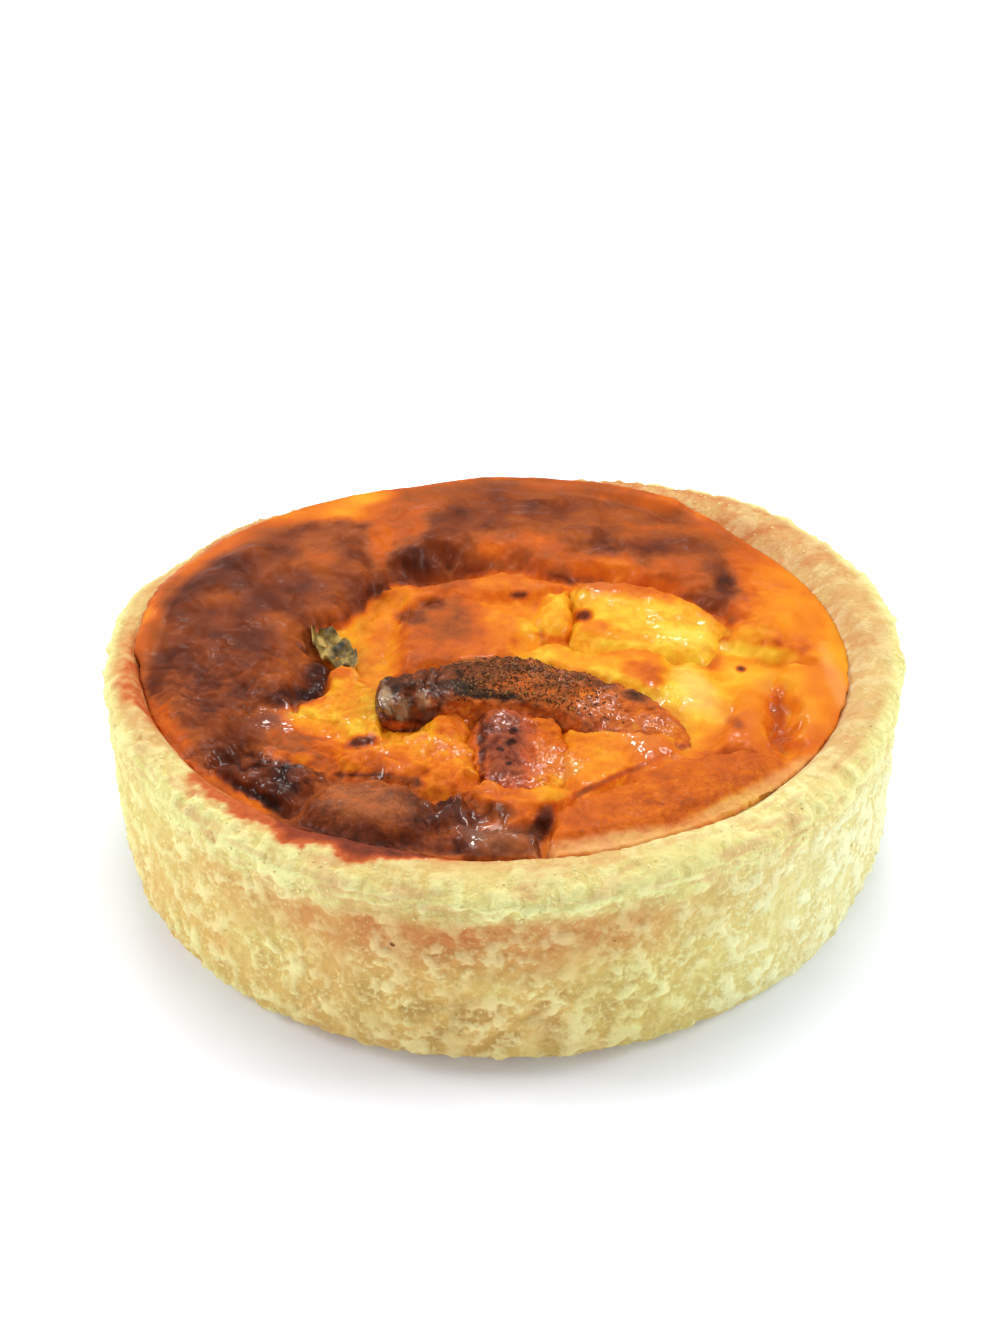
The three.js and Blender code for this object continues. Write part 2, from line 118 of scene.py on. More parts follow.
def case_section():
    """Radius, height and share of the outer form, from the middle of the base to the middle of the floor."""
    under = [(radius, 0.0, 1.0) for radius in UNDER_RADII]
    foot = [
        (BASE_RADIUS - BASE_ROUND * (1 - math.sin(turn)), BASE_ROUND * (1 - math.cos(turn)), 1.0)
        for turn in np.linspace(0, math.pi / 2, FOOT_STEPS)
    ]
    heights = np.linspace(BASE_ROUND, HEIGHT - RIM_OUTER_DROP, WALL_STEPS)[1:]
    wall = [(BASE_RADIUS + (RIM_RADIUS - BASE_RADIUS) * z / HEIGHT, z, 1.0) for z in heights]
    rim_turns = np.linspace(RIM_EDGE_TURN, math.pi / 2, RIM_OUTER_STEPS)
    shares = np.append(RIM_CREST + (1 - RIM_CREST) * np.cos(rim_turns),
                       np.linspace(RIM_CREST, 0, RIM_INNER_STEPS)[1:])
    rim = [(HOLLOW_RADIUS + (RIM_RADIUS - HOLLOW_RADIUS) * share, HEIGHT, share) for share in shares]
    taper = HOLLOW_TAPER / (HEIGHT - FLOOR)
    inside = [(HOLLOW_RADIUS - taper * (HEIGHT - z), z, 0.0) for z in INSIDE_HEIGHTS]
    floor = [(radius, FLOOR, 0.0) for radius in FLOOR_RADII]
    return np.array(under + foot + wall + rim + inside + floor)


def points_at(x, y, z=0.0):
    return np.stack(np.broadcast_arrays(x, y, z), axis=-1)


def points_round(radius, angle, z):
    return points_at(radius * np.cos(angle), radius * np.sin(angle), z)


def ring_faces(rows, sides):
    """Quads between rows of points that each run once round the axis."""
    return [
        (row * sides + side, row * sides + (side + 1) % sides,
         (row + 1) * sides + (side + 1) % sides, (row + 1) * sides + side)
        for row in range(rows - 1)
        for side in range(sides)
    ]


def add_piece(name, points, faces):
    """An object at the origin from points in millimetres, shaded smooth."""
    mesh = bpy.data.meshes.new(name)
    mesh.from_pydata((points * MM).tolist(), [], faces)
    mesh.shade_smooth()
    piece = bpy.data.objects.new(name, mesh)
    bpy.context.collection.objects.link(piece)
    return piece


def set_values(piece, **readings):
    """Stores values on a piece's points: one for all, or one for each, with 0 for points past the last."""
    for name, values in readings.items():
        stored = np.zeros(len(piece.data.vertices), dtype=np.float32)
        if np.ndim(values) == 0:
            stored[:] = values
        else:
            stored[:np.size(values)] = np.ravel(values)
        piece.data.attributes.new(name, "FLOAT", "POINT").data.foreach_set("value", stored)


# Unevenness is given in layers, each with its height, the size of its lumps, its seed and its octaves. Dents
# and humps are given by x, y, half length, half width, turn and depth or rise.
WALL_LUMPS = [(0.55, 9.0, 1, 2)]
BAND_RAG = [(1.8, 8.0, 43, 2), (1.0, 2.4, 44, 3)]
FOOT_CRAGS = [(0.45, 3.0, 46, 3)]
FOOT_CRAG_START = 1.2
FOOT_CRAG_TOP = 8.0
FOOT_CRAG_FADE = 5.0
RIM_CRAGS = [(0.45, 5.0, 41, 3), (0.22, 1.8, 42, 3)]
RIM_CRAG_SPAN = (HEIGHT - 4.0, HEIGHT - 1.0)
RIM_CRAG_EVENNESS = 0.4
RIM_DENTS = [
    (46.5, 21, 3.4, 0.5, 62, 0.9), (51.5, 3, 2.6, 0.4, 84, 0.5), (49, -17, 3, 0.4, -62, 0.5),
    (36, 38, 3, 0.5, -50, 0.5), (50.5, 12, 1.6, 0.4, 30, 0.5), (43, -30, 3, 0.4, -50, 0.4),
    (-47, -24, 2.6, 0.4, 58, 0.5), (-39, -36, 3, 0.5, 46, 0.5),
]
BAND_FOOT = 25.0
BAND_BLUR = 2.2
BAND_SWELL = 0.2
BAND_FADE = 2.5
SEED_STEP = np.array([7.3, 3.1, 5.7])
LAYER_FADE = 1.0
LAYER_STEP = 2.0


def unevenness(points, layers):
    """Rise and fall at points, from layers of noise."""
    total = np.zeros(points.shape[:-1])
    for height, size, seed, octaves in layers:
        places = (points / size + seed * SEED_STEP).reshape(-1, 3)
        heights = [noise.fractal(Vector(place), LAYER_FADE, LAYER_STEP, octaves) for place in places]
        total += height * np.reshape(heights, total.shape)
    return total


def out_from(x, y, at_x, at_y, half_length, half_width, turned):
    """Distance from the middle of a turned oval, which is 1 at its edge."""
    cos, sin = math.cos(math.radians(turned)), math.sin(math.radians(turned))
    along = ((x - at_x) * cos + (y - at_y) * sin) / half_length
    across = ((y - at_y) * cos - (x - at_x) * sin) / half_width
    return np.hypot(along, across)


def swells(rows, x, y):
    return sum(rise * np.exp(-out_from(x, y, *oval) ** 2) for *oval, rise in rows)


section = case_section()
radius, z, outside = (section[:, [column]] for column in range(3))
angle = np.linspace(0, 2 * math.pi, CASE_SIDES, endpoint=False)[None]
reach = radius + outside * outer_swell(angle, z) + (1 - outside) * hollow_offset(angle)
wall_rows = (outside == 1) & (z > BASE_ROUND)
stretch = 1 + rim_lift(angle) / (HEIGHT - RIM_OUTER_DROP - BASE_ROUND)
wall_z = np.where(wall_rows, BASE_ROUND + (z - BASE_ROUND) * stretch, z)
z = np.where(z >= HEIGHT, rim_top(reach, angle), wall_z)
smooth_case = points_round(reach, angle, z)
band_rag = unevenness(smooth_case, BAND_RAG)
band = smooth(z + band_rag, BAND_FOOT - BAND_BLUR, BAND_FOOT + BAND_BLUR) * outside
lumps = unevenness(smooth_case, WALL_LUMPS) * smooth(z, 0, BASE_ROUND)
crumbly_foot = smooth(z, 0, FOOT_CRAG_START) * smooth(FOOT_CRAG_TOP - z, 0, FOOT_CRAG_FADE)
foot_crags = unevenness(smooth_case, FOOT_CRAGS) * crumbly_foot
reach = reach + outside * (lumps + foot_crags) + BAND_SWELL * band * smooth(HEIGHT - z, 0, BAND_FADE)
rim_crags = unevenness(smooth_case, RIM_CRAGS) - swells(RIM_DENTS, smooth_case[..., 0], smooth_case[..., 1])
z = z + rim_crags * outside**RIM_CRAG_EVENNESS * smooth(z, *RIM_CRAG_SPAN)
case_points = points_round(reach, angle, z)
under_middle = len(section) * CASE_SIDES
floor_middle = under_middle + 1
floor_ring = under_middle - CASE_SIDES
following = [(side + 1) % CASE_SIDES for side in range(CASE_SIDES)]
case_faces = ring_faces(len(section), CASE_SIDES)
case_faces += [(under_middle, after, side) for side, after in enumerate(following)]
case_faces += [(floor_ring + side, floor_ring + after, floor_middle) for side, after in enumerate(following)]
pastry = add_piece("pastry", np.vstack([case_points.reshape(-1, 3), [[0, 0, 0], [0, 0, FLOOR]]]), case_faces)

# The dough's surface: a wall speckled with pale flakes, and a paler torn band round the top. The tints round
# the wall are given by the angle from the front, to the right, with its middle and spread. Some of them are
# painted light and shade: the toasted front and lower left are partly painted shade, the blush under the band
# is partly painted shade, and the floury right side is partly painted light.
FRONT = -90
SHOWN_FROM = (0.2, 2.5)
RING_DEPTH = 1.9
RING_EVENNESS = 0.3
TOASTED_FRONT = (-14, 34)
TOASTED_TOP = BAND_FOOT + 0.6
TOASTED_FADE = 1.5
TOASTED_LEFT = (-52, 20)
TOASTED_LEFT_SHARE = 0.9
TOASTED_LEFT_TOP = 20.0
TOASTED_LEFT_FADE = 10.0
OLIVE_FRONT = (-4, 22)
OLIVE_HEIGHT = (9.0, 8.0)
BLUSH_FRONT = (-4, 32)
BLUSH_HEIGHT = (14.0, 23.0)
RIM_BLUSH_HEIGHT = (HEIGHT - 2.6, HEIGHT - 2.0)
RIM_BLUSH_INSIDE = (0.05, 0.35)
RIM_BLUSH_BACK = (-0.75, -0.35)
RIM_BLUSH_FAR_BACK = (0.2, 0.7)
RIM_BLUSH_LEAST = 0.7
FLOURY_RIGHT = (0.25, 0.8)
LAYERED_FRONT = (0.1, 0.6)


def bell(value, middle, spread):
    return np.exp(-(((value - middle) / spread) ** 2))


def turned_from(angle, start):
    """Angle in degrees from a start, from -180 to 180."""
    return (np.degrees(angle) - start + 180) % 360 - 180


def run_along(points):
    """Distance along a row of points."""
    return np.concatenate([[0], np.cumsum(np.hypot(*np.diff(points, axis=0).T))])


from_front = turned_from(angle, FRONT)
on_show = outside * smooth(z, *SHOWN_FROM)
ring_share = np.where(z > HEIGHT - RING_DEPTH, outside**RING_EVENNESS, band)
# The toasted mask darkens the front and lower left of the wall, partly as toast and partly as painted shade
# where the wall faces away from the lamps.
toasted_left = bell(from_front, *TOASTED_LEFT) * smooth(TOASTED_LEFT_TOP - z, 0, TOASTED_LEFT_FADE)
toasted = bell(from_front, *TOASTED_FRONT) * smooth(TOASTED_TOP - z + band_rag, 0, TOASTED_FADE)
toasted = np.maximum(toasted, TOASTED_LEFT_SHARE * toasted_left)
rim_blush = smooth(z, *RIM_BLUSH_HEIGHT) * smooth(1 - outside, *RIM_BLUSH_INSIDE)
rim_blush = rim_blush * smooth(np.sin(angle), *RIM_BLUSH_BACK)
far_back = smooth(np.sin(angle), *RIM_BLUSH_FAR_BACK)
rim_blush = rim_blush * (RIM_BLUSH_LEAST + (1 - RIM_BLUSH_LEAST) * far_back)
# The blush under the band at the front is partly a rosy tint and partly painted shade below the band's
# overhang; the rim blush is the rim's own tint.
blush = np.maximum(bell(from_front, *BLUSH_FRONT) * smooth(z, *BLUSH_HEIGHT) * (1 - band), rim_blush)
set_values(
    pastry, toasted=toasted, blush=blush, on_show=on_show, ring_share=ring_share,
    olive=bell(from_front, *OLIVE_FRONT) * bell(z, *OLIVE_HEIGHT),
    # Partly painted light: the right side of the wall is made paler and yellower where the side lamp falls.
    floury=smooth(np.cos(angle), *FLOURY_RIGHT) * (1 - ring_share),
    layered=ring_share * smooth(-np.sin(angle), *LAYERED_FRONT),
)
layout = np.zeros((len(pastry.data.vertices), 3), dtype=np.float32)
layout[:under_middle] = points_round(RIM_RADIUS, angle, run_along(section[:, :2])[:, None]).reshape(-1, 3)
pastry.data.attributes.new("layout", "FLOAT_VECTOR", "POINT").data.foreach_set("vector", layout.ravel())

# Custard stains on the rim: a smear on the left, then dribbles that join in a ragged line along the front
# left edge, each given by its angle, half span, width across the rim and strength.
STAINS = [
    (172, 7, 3, 0.45), (182, 9, 4.4, 0.28), (192, 9, 4.4, 0.35), (200, 6, 3.2, 0.38), (210, 6, 1.6, 0.5),
    (217, 6, 1.4, 0.45), (224, 7, 6, 0.38), (233, 7, 6.2, 0.46), (242, 8, 6.2, 0.72), (251, 9, 6, 0.86),
    (260, 6, 2.6, 0.7),
]
STAIN_RAG = [(1.2, 5.0, 2, 3), (0.35, 1.2, 45, 2)]
STAIN_INSET = 0.4
STAIN_END = -0.3
STAIN_BLUR = (-1.0, 2.4)
STAIN_HEIGHT = (HEIGHT - 3.5, HEIGHT - 1.5)
over_rim = reach - hollow_edge(angle) - unevenness(case_points, STAIN_RAG)
stain = np.zeros_like(z)
for at, span, width, strength in STAINS:
    away = np.abs(turned_from(angle, at)) / span
    limit = width * np.sqrt(np.clip(1 - away**2, 0, 1)) - STAIN_INSET
    stain = np.maximum(stain, strength * smooth(limit - over_rim, *STAIN_BLUR) * (limit > STAIN_END))
stain *= smooth(z, *STAIN_HEIGHT)
set_values(pastry, stain=stain)
HALF = 0.5


class Nodes:
    """A node tree with short ways to add nodes, whose inputs are set to values or linked to sockets."""

    def __init__(self, tree):
        self.tree = tree

    def feed(self, node, inputs):
        for key, value in inputs.items():
            if isinstance(value, bpy.types.NodeSocket):
                self.tree.links.new(value, node.inputs[key])
            else:
                node.inputs[key].default_value = value

    def add(self, kind, inputs=None, **settings):
        node = self.tree.nodes.new(kind)
        for key, value in settings.items():
            setattr(node, key, value)
        self.feed(node, inputs or {})
        return node

    def maths(self, operation, *values, clamp=False):
        node = self.add("ShaderNodeMath", dict(enumerate(values)), operation=operation, use_clamp=clamp)
        return node.outputs[0]

    def plus(self, first, second, clamp=False):
        return self.maths("ADD", first, second, clamp=clamp)

    def minus(self, first, second):
        return self.maths("SUBTRACT", first, second)

    def times(self, product, *factors):
        for factor in factors:
            product = self.maths("MULTIPLY", product, factor)
        return product

    def vector(self, operation, *values, **inputs):
        inputs.update(enumerate(values))
        return self.add("ShaderNodeVectorMath", inputs, operation=operation).outputs[0]

    def clouds(self, place, scale, detail=2.0, roughness=0.5):
        """Noise from about 0 to 1."""
        inputs = {"Vector": place, "Scale": scale, "Detail": detail, "Roughness": roughness}
        return self.add("ShaderNodeTexNoise", inputs).outputs[0]

    def spread(self, value, low, high, start=0.0, end=1.0, easing="LINEAR"):
        """Lays a value's range, low to high, over another, start to end."""
        inputs = dict(enumerate((value, low, high, start, end)))
        return self.add("ShaderNodeMapRange", inputs, interpolation_type=easing).outputs[0]

    def place(self):
        """Where a point lies on the piece, in metres."""
        return self.add("ShaderNodeTexCoord").outputs["Object"]

    def reading(self, name, output="Fac"):
        """A value stored on the piece, for its material."""
        return self.add("ShaderNodeAttribute", attribute_name=name).outputs[output]

    def named(self, name, kind="FLOAT"):
        """A value stored on the piece, for its relief."""
        return self.add("GeometryNodeInputNamedAttribute", {"Name": name}, data_type=kind).outputs[0]

    def tint(self, share, first, second, blend="MIX"):
        inputs = {0: share, 6: first, 7: second}
        return self.add("ShaderNodeMix", inputs, data_type="RGBA", blend_type=blend).outputs[2]

    def ramp(self, value, stops):
        node = self.add("ShaderNodeValToRGB", {0: value})
        elements = node.color_ramp.elements
        while len(elements) < len(stops):
            elements.new(HALF)
        for element, (position, shade) in zip(elements, stops):
            element.position = position
            element.color = shade
        return node.outputs[0]

    def bump(self, height, depth, strength=0.6):
        inputs = {"Strength": strength, "Distance": depth, "Height": height}
        return self.add("ShaderNodeBump", inputs).outputs[0]

    def raised(self, geometry, rise):
        """Geometry moved out along its normals."""
        normal = self.add("GeometryNodeInputNormal").outputs[0]
        offset = self.vector("SCALE", normal, Scale=rise)
        return self.add("GeometryNodeSetPosition", {"Geometry": geometry, "Offset": offset}).outputs[0]

    def marked(self, geometry, name, value, domain="POINT"):
        """Geometry with a value stored on it."""
        inputs = {"Geometry": geometry, "Name": name, "Value": value}
        node = self.add("GeometryNodeStoreNamedAttribute", inputs, data_type="FLOAT", domain=domain)
        return node.outputs[0]

    def dressed(self, geometry, material):
        """Geometry made real, with its material."""
        whole = self.add("GeometryNodeRealizeInstances", {0: geometry}).outputs[0]
        return self.add("GeometryNodeSetMaterial", {"Geometry": whole, "Material": material}).outputs[0]


def new_group(name, kind, inputs, outputs):
    """A node group with named inputs and outputs: its nodes, its sockets in and its end."""
    tree = bpy.data.node_groups.new(name, kind)
    for label, socket in inputs.items():
        tree.interface.new_socket(label, in_out="INPUT", socket_type=socket)
    for label, socket in outputs.items():
        tree.interface.new_socket(label, in_out="OUTPUT", socket_type=socket)
    return Nodes(tree), tree.nodes.new("NodeGroupInput").outputs, tree.nodes.new("NodeGroupOutput")


FLOAT = "NodeSocketFloat"
GEOMETRY = {"Geometry": "NodeSocketGeometry"}
MATERIAL = {"Material": "NodeSocketMaterial"}
FLAKE_RELIEF = {
    "big": (0.47, 0.63), "small": (0.5, 0.66), "small_share": 0.85, "sparse": 0.45, "easing": "SMOOTHSTEP",
}
FLAKE_TINT = {
    "big": (0.475, 0.585), "small": (0.51, 0.64), "small_share": 0.75, "sparse": 0.4, "easing": "LINEAR",
}
LAYER_STRETCH = (0.13, 0.13, 0.95)


def flaked(nodes, place, big, small, small_share, sparse, easing):
    """Share of pale flakes over the dough: big ones, and small ones between them, in crowds."""
    big_flakes = nodes.spread(nodes.clouds(place, scale=0.4, detail=3.0), *big, easing=easing)
    small_flakes = nodes.spread(nodes.clouds(place, scale=1.3), *small, end=small_share, easing=easing)
    crowd = nodes.spread(nodes.clouds(place, scale=0.15), low=0.36, high=0.58, start=sparse)
    return nodes.times(nodes.maths("MAXIMUM", big_flakes, small_flakes), crowd)


dough, dough_in, dough_out = new_group(
    "Dough relief", "GeometryNodeTree",
    GEOMETRY | {"Flake Height": FLOAT, "Crumb Height": FLOAT, "Layer Height": FLOAT} | MATERIAL, GEOMETRY,
)
place = dough.named("layout", "FLOAT_VECTOR")
flake_rise = dough.times(flaked(dough, place, **FLAKE_RELIEF), dough_in["Flake Height"])
crumb_noise = dough.clouds(place, scale=0.8, detail=4.0)
crumb_rise = dough.times(dough.minus(crumb_noise, HALF), dough_in["Crumb Height"])
layer_place = dough.vector("MULTIPLY", place, LAYER_STRETCH)
layer_noise = dough.add("ShaderNodeTexNoise", {
    "Vector": layer_place, "Scale": 1.0, "Detail": 3.0, "Distortion": 0.4,
}).outputs[0]
layer_rise = dough.times(dough.minus(layer_noise, HALF), dough_in["Layer Height"], dough.named("layered"))
rise = dough.plus(dough.plus(flake_rise, crumb_rise), layer_rise)
moved = dough.raised(dough_in["Geometry"], dough.times(rise, dough.named("on_show")))
layers_marked = dough.marked(moved, "layer", layer_noise)
dough.feed(dough_out, {0: dough.dressed(layers_marked, dough_in["Material"])})


def colour(red, green, blue):
    """Linear colour with alpha from 0 to 255 display values."""
    display = np.array([red, green, blue]) / 255
    linear = np.where(display <= 0.04045, display / 12.92, ((display + 0.055) / 1.055) ** 2.4)
    return (*linear.tolist(), 1.0)


def new_material(name):
    material = bpy.data.materials.new(name)
    material.use_nodes = True
    return material, Nodes(material.node_tree), material.node_tree.nodes["Principled BSDF"]


def shape_by(nodes, piece, values):
    """Runs a relief on a piece with its inputs set, and keeps the outcome as a plain mesh."""
    modifier = piece.modifiers.new(nodes.tree.name, "NODES")
    modifier.node_group = nodes.tree
    for item in nodes.tree.interface.items_tree:
        if item.item_type == "SOCKET" and item.in_out == "INPUT" and item.name in values:
            modifier[item.identifier] = values[item.name]
    graph = bpy.context.evaluated_depsgraph_get()
    piece.data = bpy.data.meshes.new_from_object(piece.evaluated_get(graph), depsgraph=graph)
    piece.modifiers.clear()
    piece.data.shade_smooth()


# Pastry colours: tan dough, paler and yellower on the flakes and rim; rosy at the front, partly where it
# toasted and partly as painted shade; paler on the right, partly as painted light; a rosy painted shade in
# the creases of the band's layers and, in part, under the band; the odd dark pock, and the red-brown of
# custard that baked onto the rim.
TAN_DOUGH = colour(226, 210, 122)
TOASTED_DOUGH = colour(230, 178, 98)
OLIVE_DOUGH = colour(194, 152, 82)
PALE_FLAKE = colour(246, 243, 168)
TOASTED_FLAKE = colour(252, 230, 162)
FLOURY_FLAKE = colour(250, 250, 200)
FRECKLE = colour(224, 182, 116)
ROSY_LAYER = colour(226, 170, 118)
BLUSHED_DOUGH = colour(208, 130, 72)
POCK = colour(128, 74, 36)
STAIN_SHADES = [
    (0.1, colour(226, 150, 84)), (0.4, colour(204, 98, 44)), (0.66, colour(158, 66, 32)),
    (1.0, colour(88, 38, 22)),
]
TOAST_SHARE = 0.75
RING_PALENESS = 0.36
FLOUR_PALENESS = 0.3
FRECKLES = 0.1
TOASTED_FRECKLES = 0.3
ROSY_SHARE = 0.6
WALL_FLAKE_COVER = 0.45
RING_FLAKE_LOSS = 0.4
STAIN_MOTTLE = 0.5
STAIN_LEAST = 0.01
POCK_LEAST = 0.94
pastry_material, nodes, shader = new_material("shortcrust")
spot = nodes.place()
fleck = nodes.clouds(spot, scale=620.0, detail=4.0)
smudge = nodes.clouds(spot, scale=260.0, detail=3.0)
flake_share = flaked(nodes, nodes.reading("layout", "Vector"), **FLAKE_TINT)
ring = nodes.reading("ring_share")
patch = nodes.spread(nodes.clouds(spot, scale=90.0, detail=4.0), low=0.34, high=0.66, start=-0.25, end=0.25)
# The toast share is partly painted shade on the front of the wall.
toast = nodes.plus(patch, nodes.times(nodes.reading("toasted"), TOAST_SHARE), clamp=True)
olive_share = nodes.times(nodes.reading("olive"), nodes.spread(smudge, low=0.42, high=0.6))
base = nodes.tint(olive_share, nodes.tint(toast, TAN_DOUGH, TOASTED_DOUGH), OLIVE_DOUGH)
# The floury flake colour pales the right side, partly as flour and partly as painted light.
floury = nodes.reading("floury")
pale = nodes.tint(floury, nodes.tint(toast, PALE_FLAKE, TOASTED_FLAKE), FLOURY_FLAKE)
paleness = nodes.plus(nodes.times(ring, RING_PALENESS), nodes.times(floury, FLOUR_PALENESS))
base = nodes.tint(nodes.plus(flake_share, paleness, clamp=True), base, pale)
freckled = nodes.plus(FRECKLES, nodes.times(toast, TOASTED_FRECKLES))
base = nodes.tint(nodes.times(nodes.spread(fleck, low=0.4, high=0.7), freckled), base, FRECKLE)
# Painted shade: a rosy colour in the creases between the band's layers.
rosy = nodes.spread(nodes.reading("layer"), low=0.5, high=0.36)
base = nodes.tint(nodes.times(rosy, nodes.reading("layered"), ROSY_SHARE), base, ROSY_LAYER)
flake_cover = nodes.minus(WALL_FLAKE_COVER, nodes.times(ring, RING_FLAKE_LOSS))
bare = nodes.minus(1.0, nodes.times(flake_share, flake_cover))
# Blush on the bare dough, partly painted shade under the band.
blushed = nodes.times(nodes.reading("blush"), nodes.spread(smudge, low=0.36, high=0.6, start=0.64), bare)
base = nodes.tint(blushed, base, BLUSHED_DOUGH)
pock = nodes.add("ShaderNodeTexVoronoi", {"Vector": spot, "Scale": 150.0}).outputs
pock_pick = nodes.add("ShaderNodeSeparateColor", {0: pock["Color"]}).outputs[0]
pock_share = nodes.spread(pock["Distance"], low=0.075, high=0.045)
pock_share = nodes.times(pock_share, nodes.maths("GREATER_THAN", pock_pick, POCK_LEAST))
base = nodes.tint(pock_share, base, POCK)
stain_share = nodes.reading("stain")
stain_depth = nodes.plus(stain_share, nodes.times(nodes.minus(fleck, HALF), STAIN_MOTTLE), clamp=True)
stain_cover = nodes.spread(stain_depth, low=0.08, high=0.36)
stain_cover = nodes.times(stain_cover, nodes.maths("GREATER_THAN", stain_share, STAIN_LEAST))
base = nodes.tint(stain_cover, base, nodes.ramp(stain_depth, STAIN_SHADES))
crust = nodes.plus(nodes.clouds(spot, scale=2300.0, detail=3.0), nodes.clouds(spot, scale=900.0, detail=3.0))
nodes.feed(shader, {
    "Base Color": base, "Roughness": 0.8, "Specular IOR Level": 0.25, "Normal": nodes.bump(crust, 0.4 * MM),
    "Subsurface Weight": 0.12, "Subsurface Radius": (1.0, 0.6, 0.3), "Subsurface Scale": 2 * MM,
})
shape_by(dough, pastry, {
    "Flake Height": 0.4 * MM, "Crumb Height": 1.0 * MM, "Layer Height": 0.9 * MM, "Material": pastry_material,
})
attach(pastry, "root")
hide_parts("pastry_case")

# Crumbs on the dough: loose grains of shortcrust, most of them on the torn rim, pressed half into it.
# They are strewn by a seed, each a small rough ball of its own form and tone.
GRAIN_LEAST = (0.5, 0.5, 0.3)
GRAIN_MOST = (1.4, 1.4, 0.8)
GRAIN_FORM_SEED = 3
GRAIN_TONE_SEED = 5
scatter, scatter_in, scatter_out = new_group(
    "Crumb scatter", "GeometryNodeTree",
    GEOMETRY | {"Density": FLOAT, "Size": FLOAT, "Seed": "NodeSocketInt"} | MATERIAL, GEOMETRY,
)
density = scatter.times(scatter.named("scatter"), scatter_in["Density"])
strewn = scatter.add("GeometryNodeDistributePointsOnFaces", {
    "Mesh": scatter_in["Geometry"], "Density": density, "Seed": scatter_in["Seed"],
}).outputs
grain_ball = scatter.add("GeometryNodeMeshIcoSphere", {"Radius": 1.0, "Subdivisions": 1}).outputs[0]
grain_form = scatter.add("FunctionNodeRandomValue", {
    0: GRAIN_LEAST, 1: GRAIN_MOST, "Seed": GRAIN_FORM_SEED,
}, data_type="FLOAT_VECTOR").outputs[0]
placed = scatter.add("GeometryNodeInstanceOnPoints", {
    "Points": strewn["Points"], "Instance": grain_ball, "Rotation": strewn["Rotation"],
    "Scale": scatter.vector("SCALE", grain_form, Scale=scatter_in["Size"]),
}).outputs[0]
grain_tone = scatter.add("FunctionNodeRandomValue", {"Seed": GRAIN_TONE_SEED}, data_type="FLOAT").outputs[1]
toned = scatter.marked(placed, "tone", grain_tone, "INSTANCE")
scatter.feed(scatter_out, {0: scatter.dressed(toned, scatter_in["Material"])})


def strew(name, piece, density, size, seed, shades):
    """Grains strewn over a piece where its scatter value is set, at a density per square millimetre."""
    material, nodes, shader = new_material(name)
    shade = nodes.ramp(nodes.reading("tone"), shades)
    nodes.feed(shader, {"Base Color": shade, "Roughness": 0.7, "Specular IOR Level": 0.2})
    grains = bpy.data.objects.new(name, piece.data.copy())
    bpy.context.collection.objects.link(grains)
    shape_by(scatter, grains, {
        "Density": density / MM**2, "Size": size * MM, "Seed": seed, "Material": material,
    })
    return grains


CRUMB_SHADES = [
    (0.0, colour(234, 212, 144)), (0.5, colour(244, 234, 170)), (0.98, colour(244, 226, 164)),
    (1.0, colour(204, 148, 88)),
]
WALL_CRUMBS = 0.03
STAIN_CLEARS = (0.05, 0.3)
crumbly = WALL_CRUMBS + (1 - WALL_CRUMBS) * ring_share
set_values(pastry, scatter=on_show * crumbly * (1 - smooth(stain, *STAIN_CLEARS)))
crumbs = strew("crumbs", pastry, density=0.3, size=0.2, seed=61, shades=CRUMB_SHADES)
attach(crumbs, "root")

# Custard filling: egg custard poured level with the rim. In the oven it rose, browned and tore, so a risen
# skin lies round a torn opening, with smaller plates of skin and pits inside it, and it ran over the rim.
# Its outlines and spots are as seen from the front at the rim's height: what stands higher lies nearer.
SIGHT_SLOPE = 1.526
SIGHT_HEIGHT = 28.0
LEVEL = 26.8
LEVEL_BROWNING = 0.3
WALL_CLIMB = 1.3
CLIMB_REACH = 5.0
WALL_SEAL = (-3.2, 0.4)
SKIN_BLEND = 0.9
GAP = 0.3
OVERFLOW_THICKNESS = 0.9
OVERFLOW_THINNING = 0.75
THINNING_SPAN = (0.4, 1.0)
OVERFLOW_LIFT = (0, 0.2)
OVERFLOW_LEAST = 0.1
EDGE_MARGIN = 0.28
EDGE_RAG = [(0.35, 4.0, 51, 3), (0.21, 1.5, 52, 2)]
CUSTARD_CELLS = 300
LIP_DROP = 1.0
SIDE_DROPS = [(1.4, 1.0), (6.0, 0.985), (20.0, 0.96)]

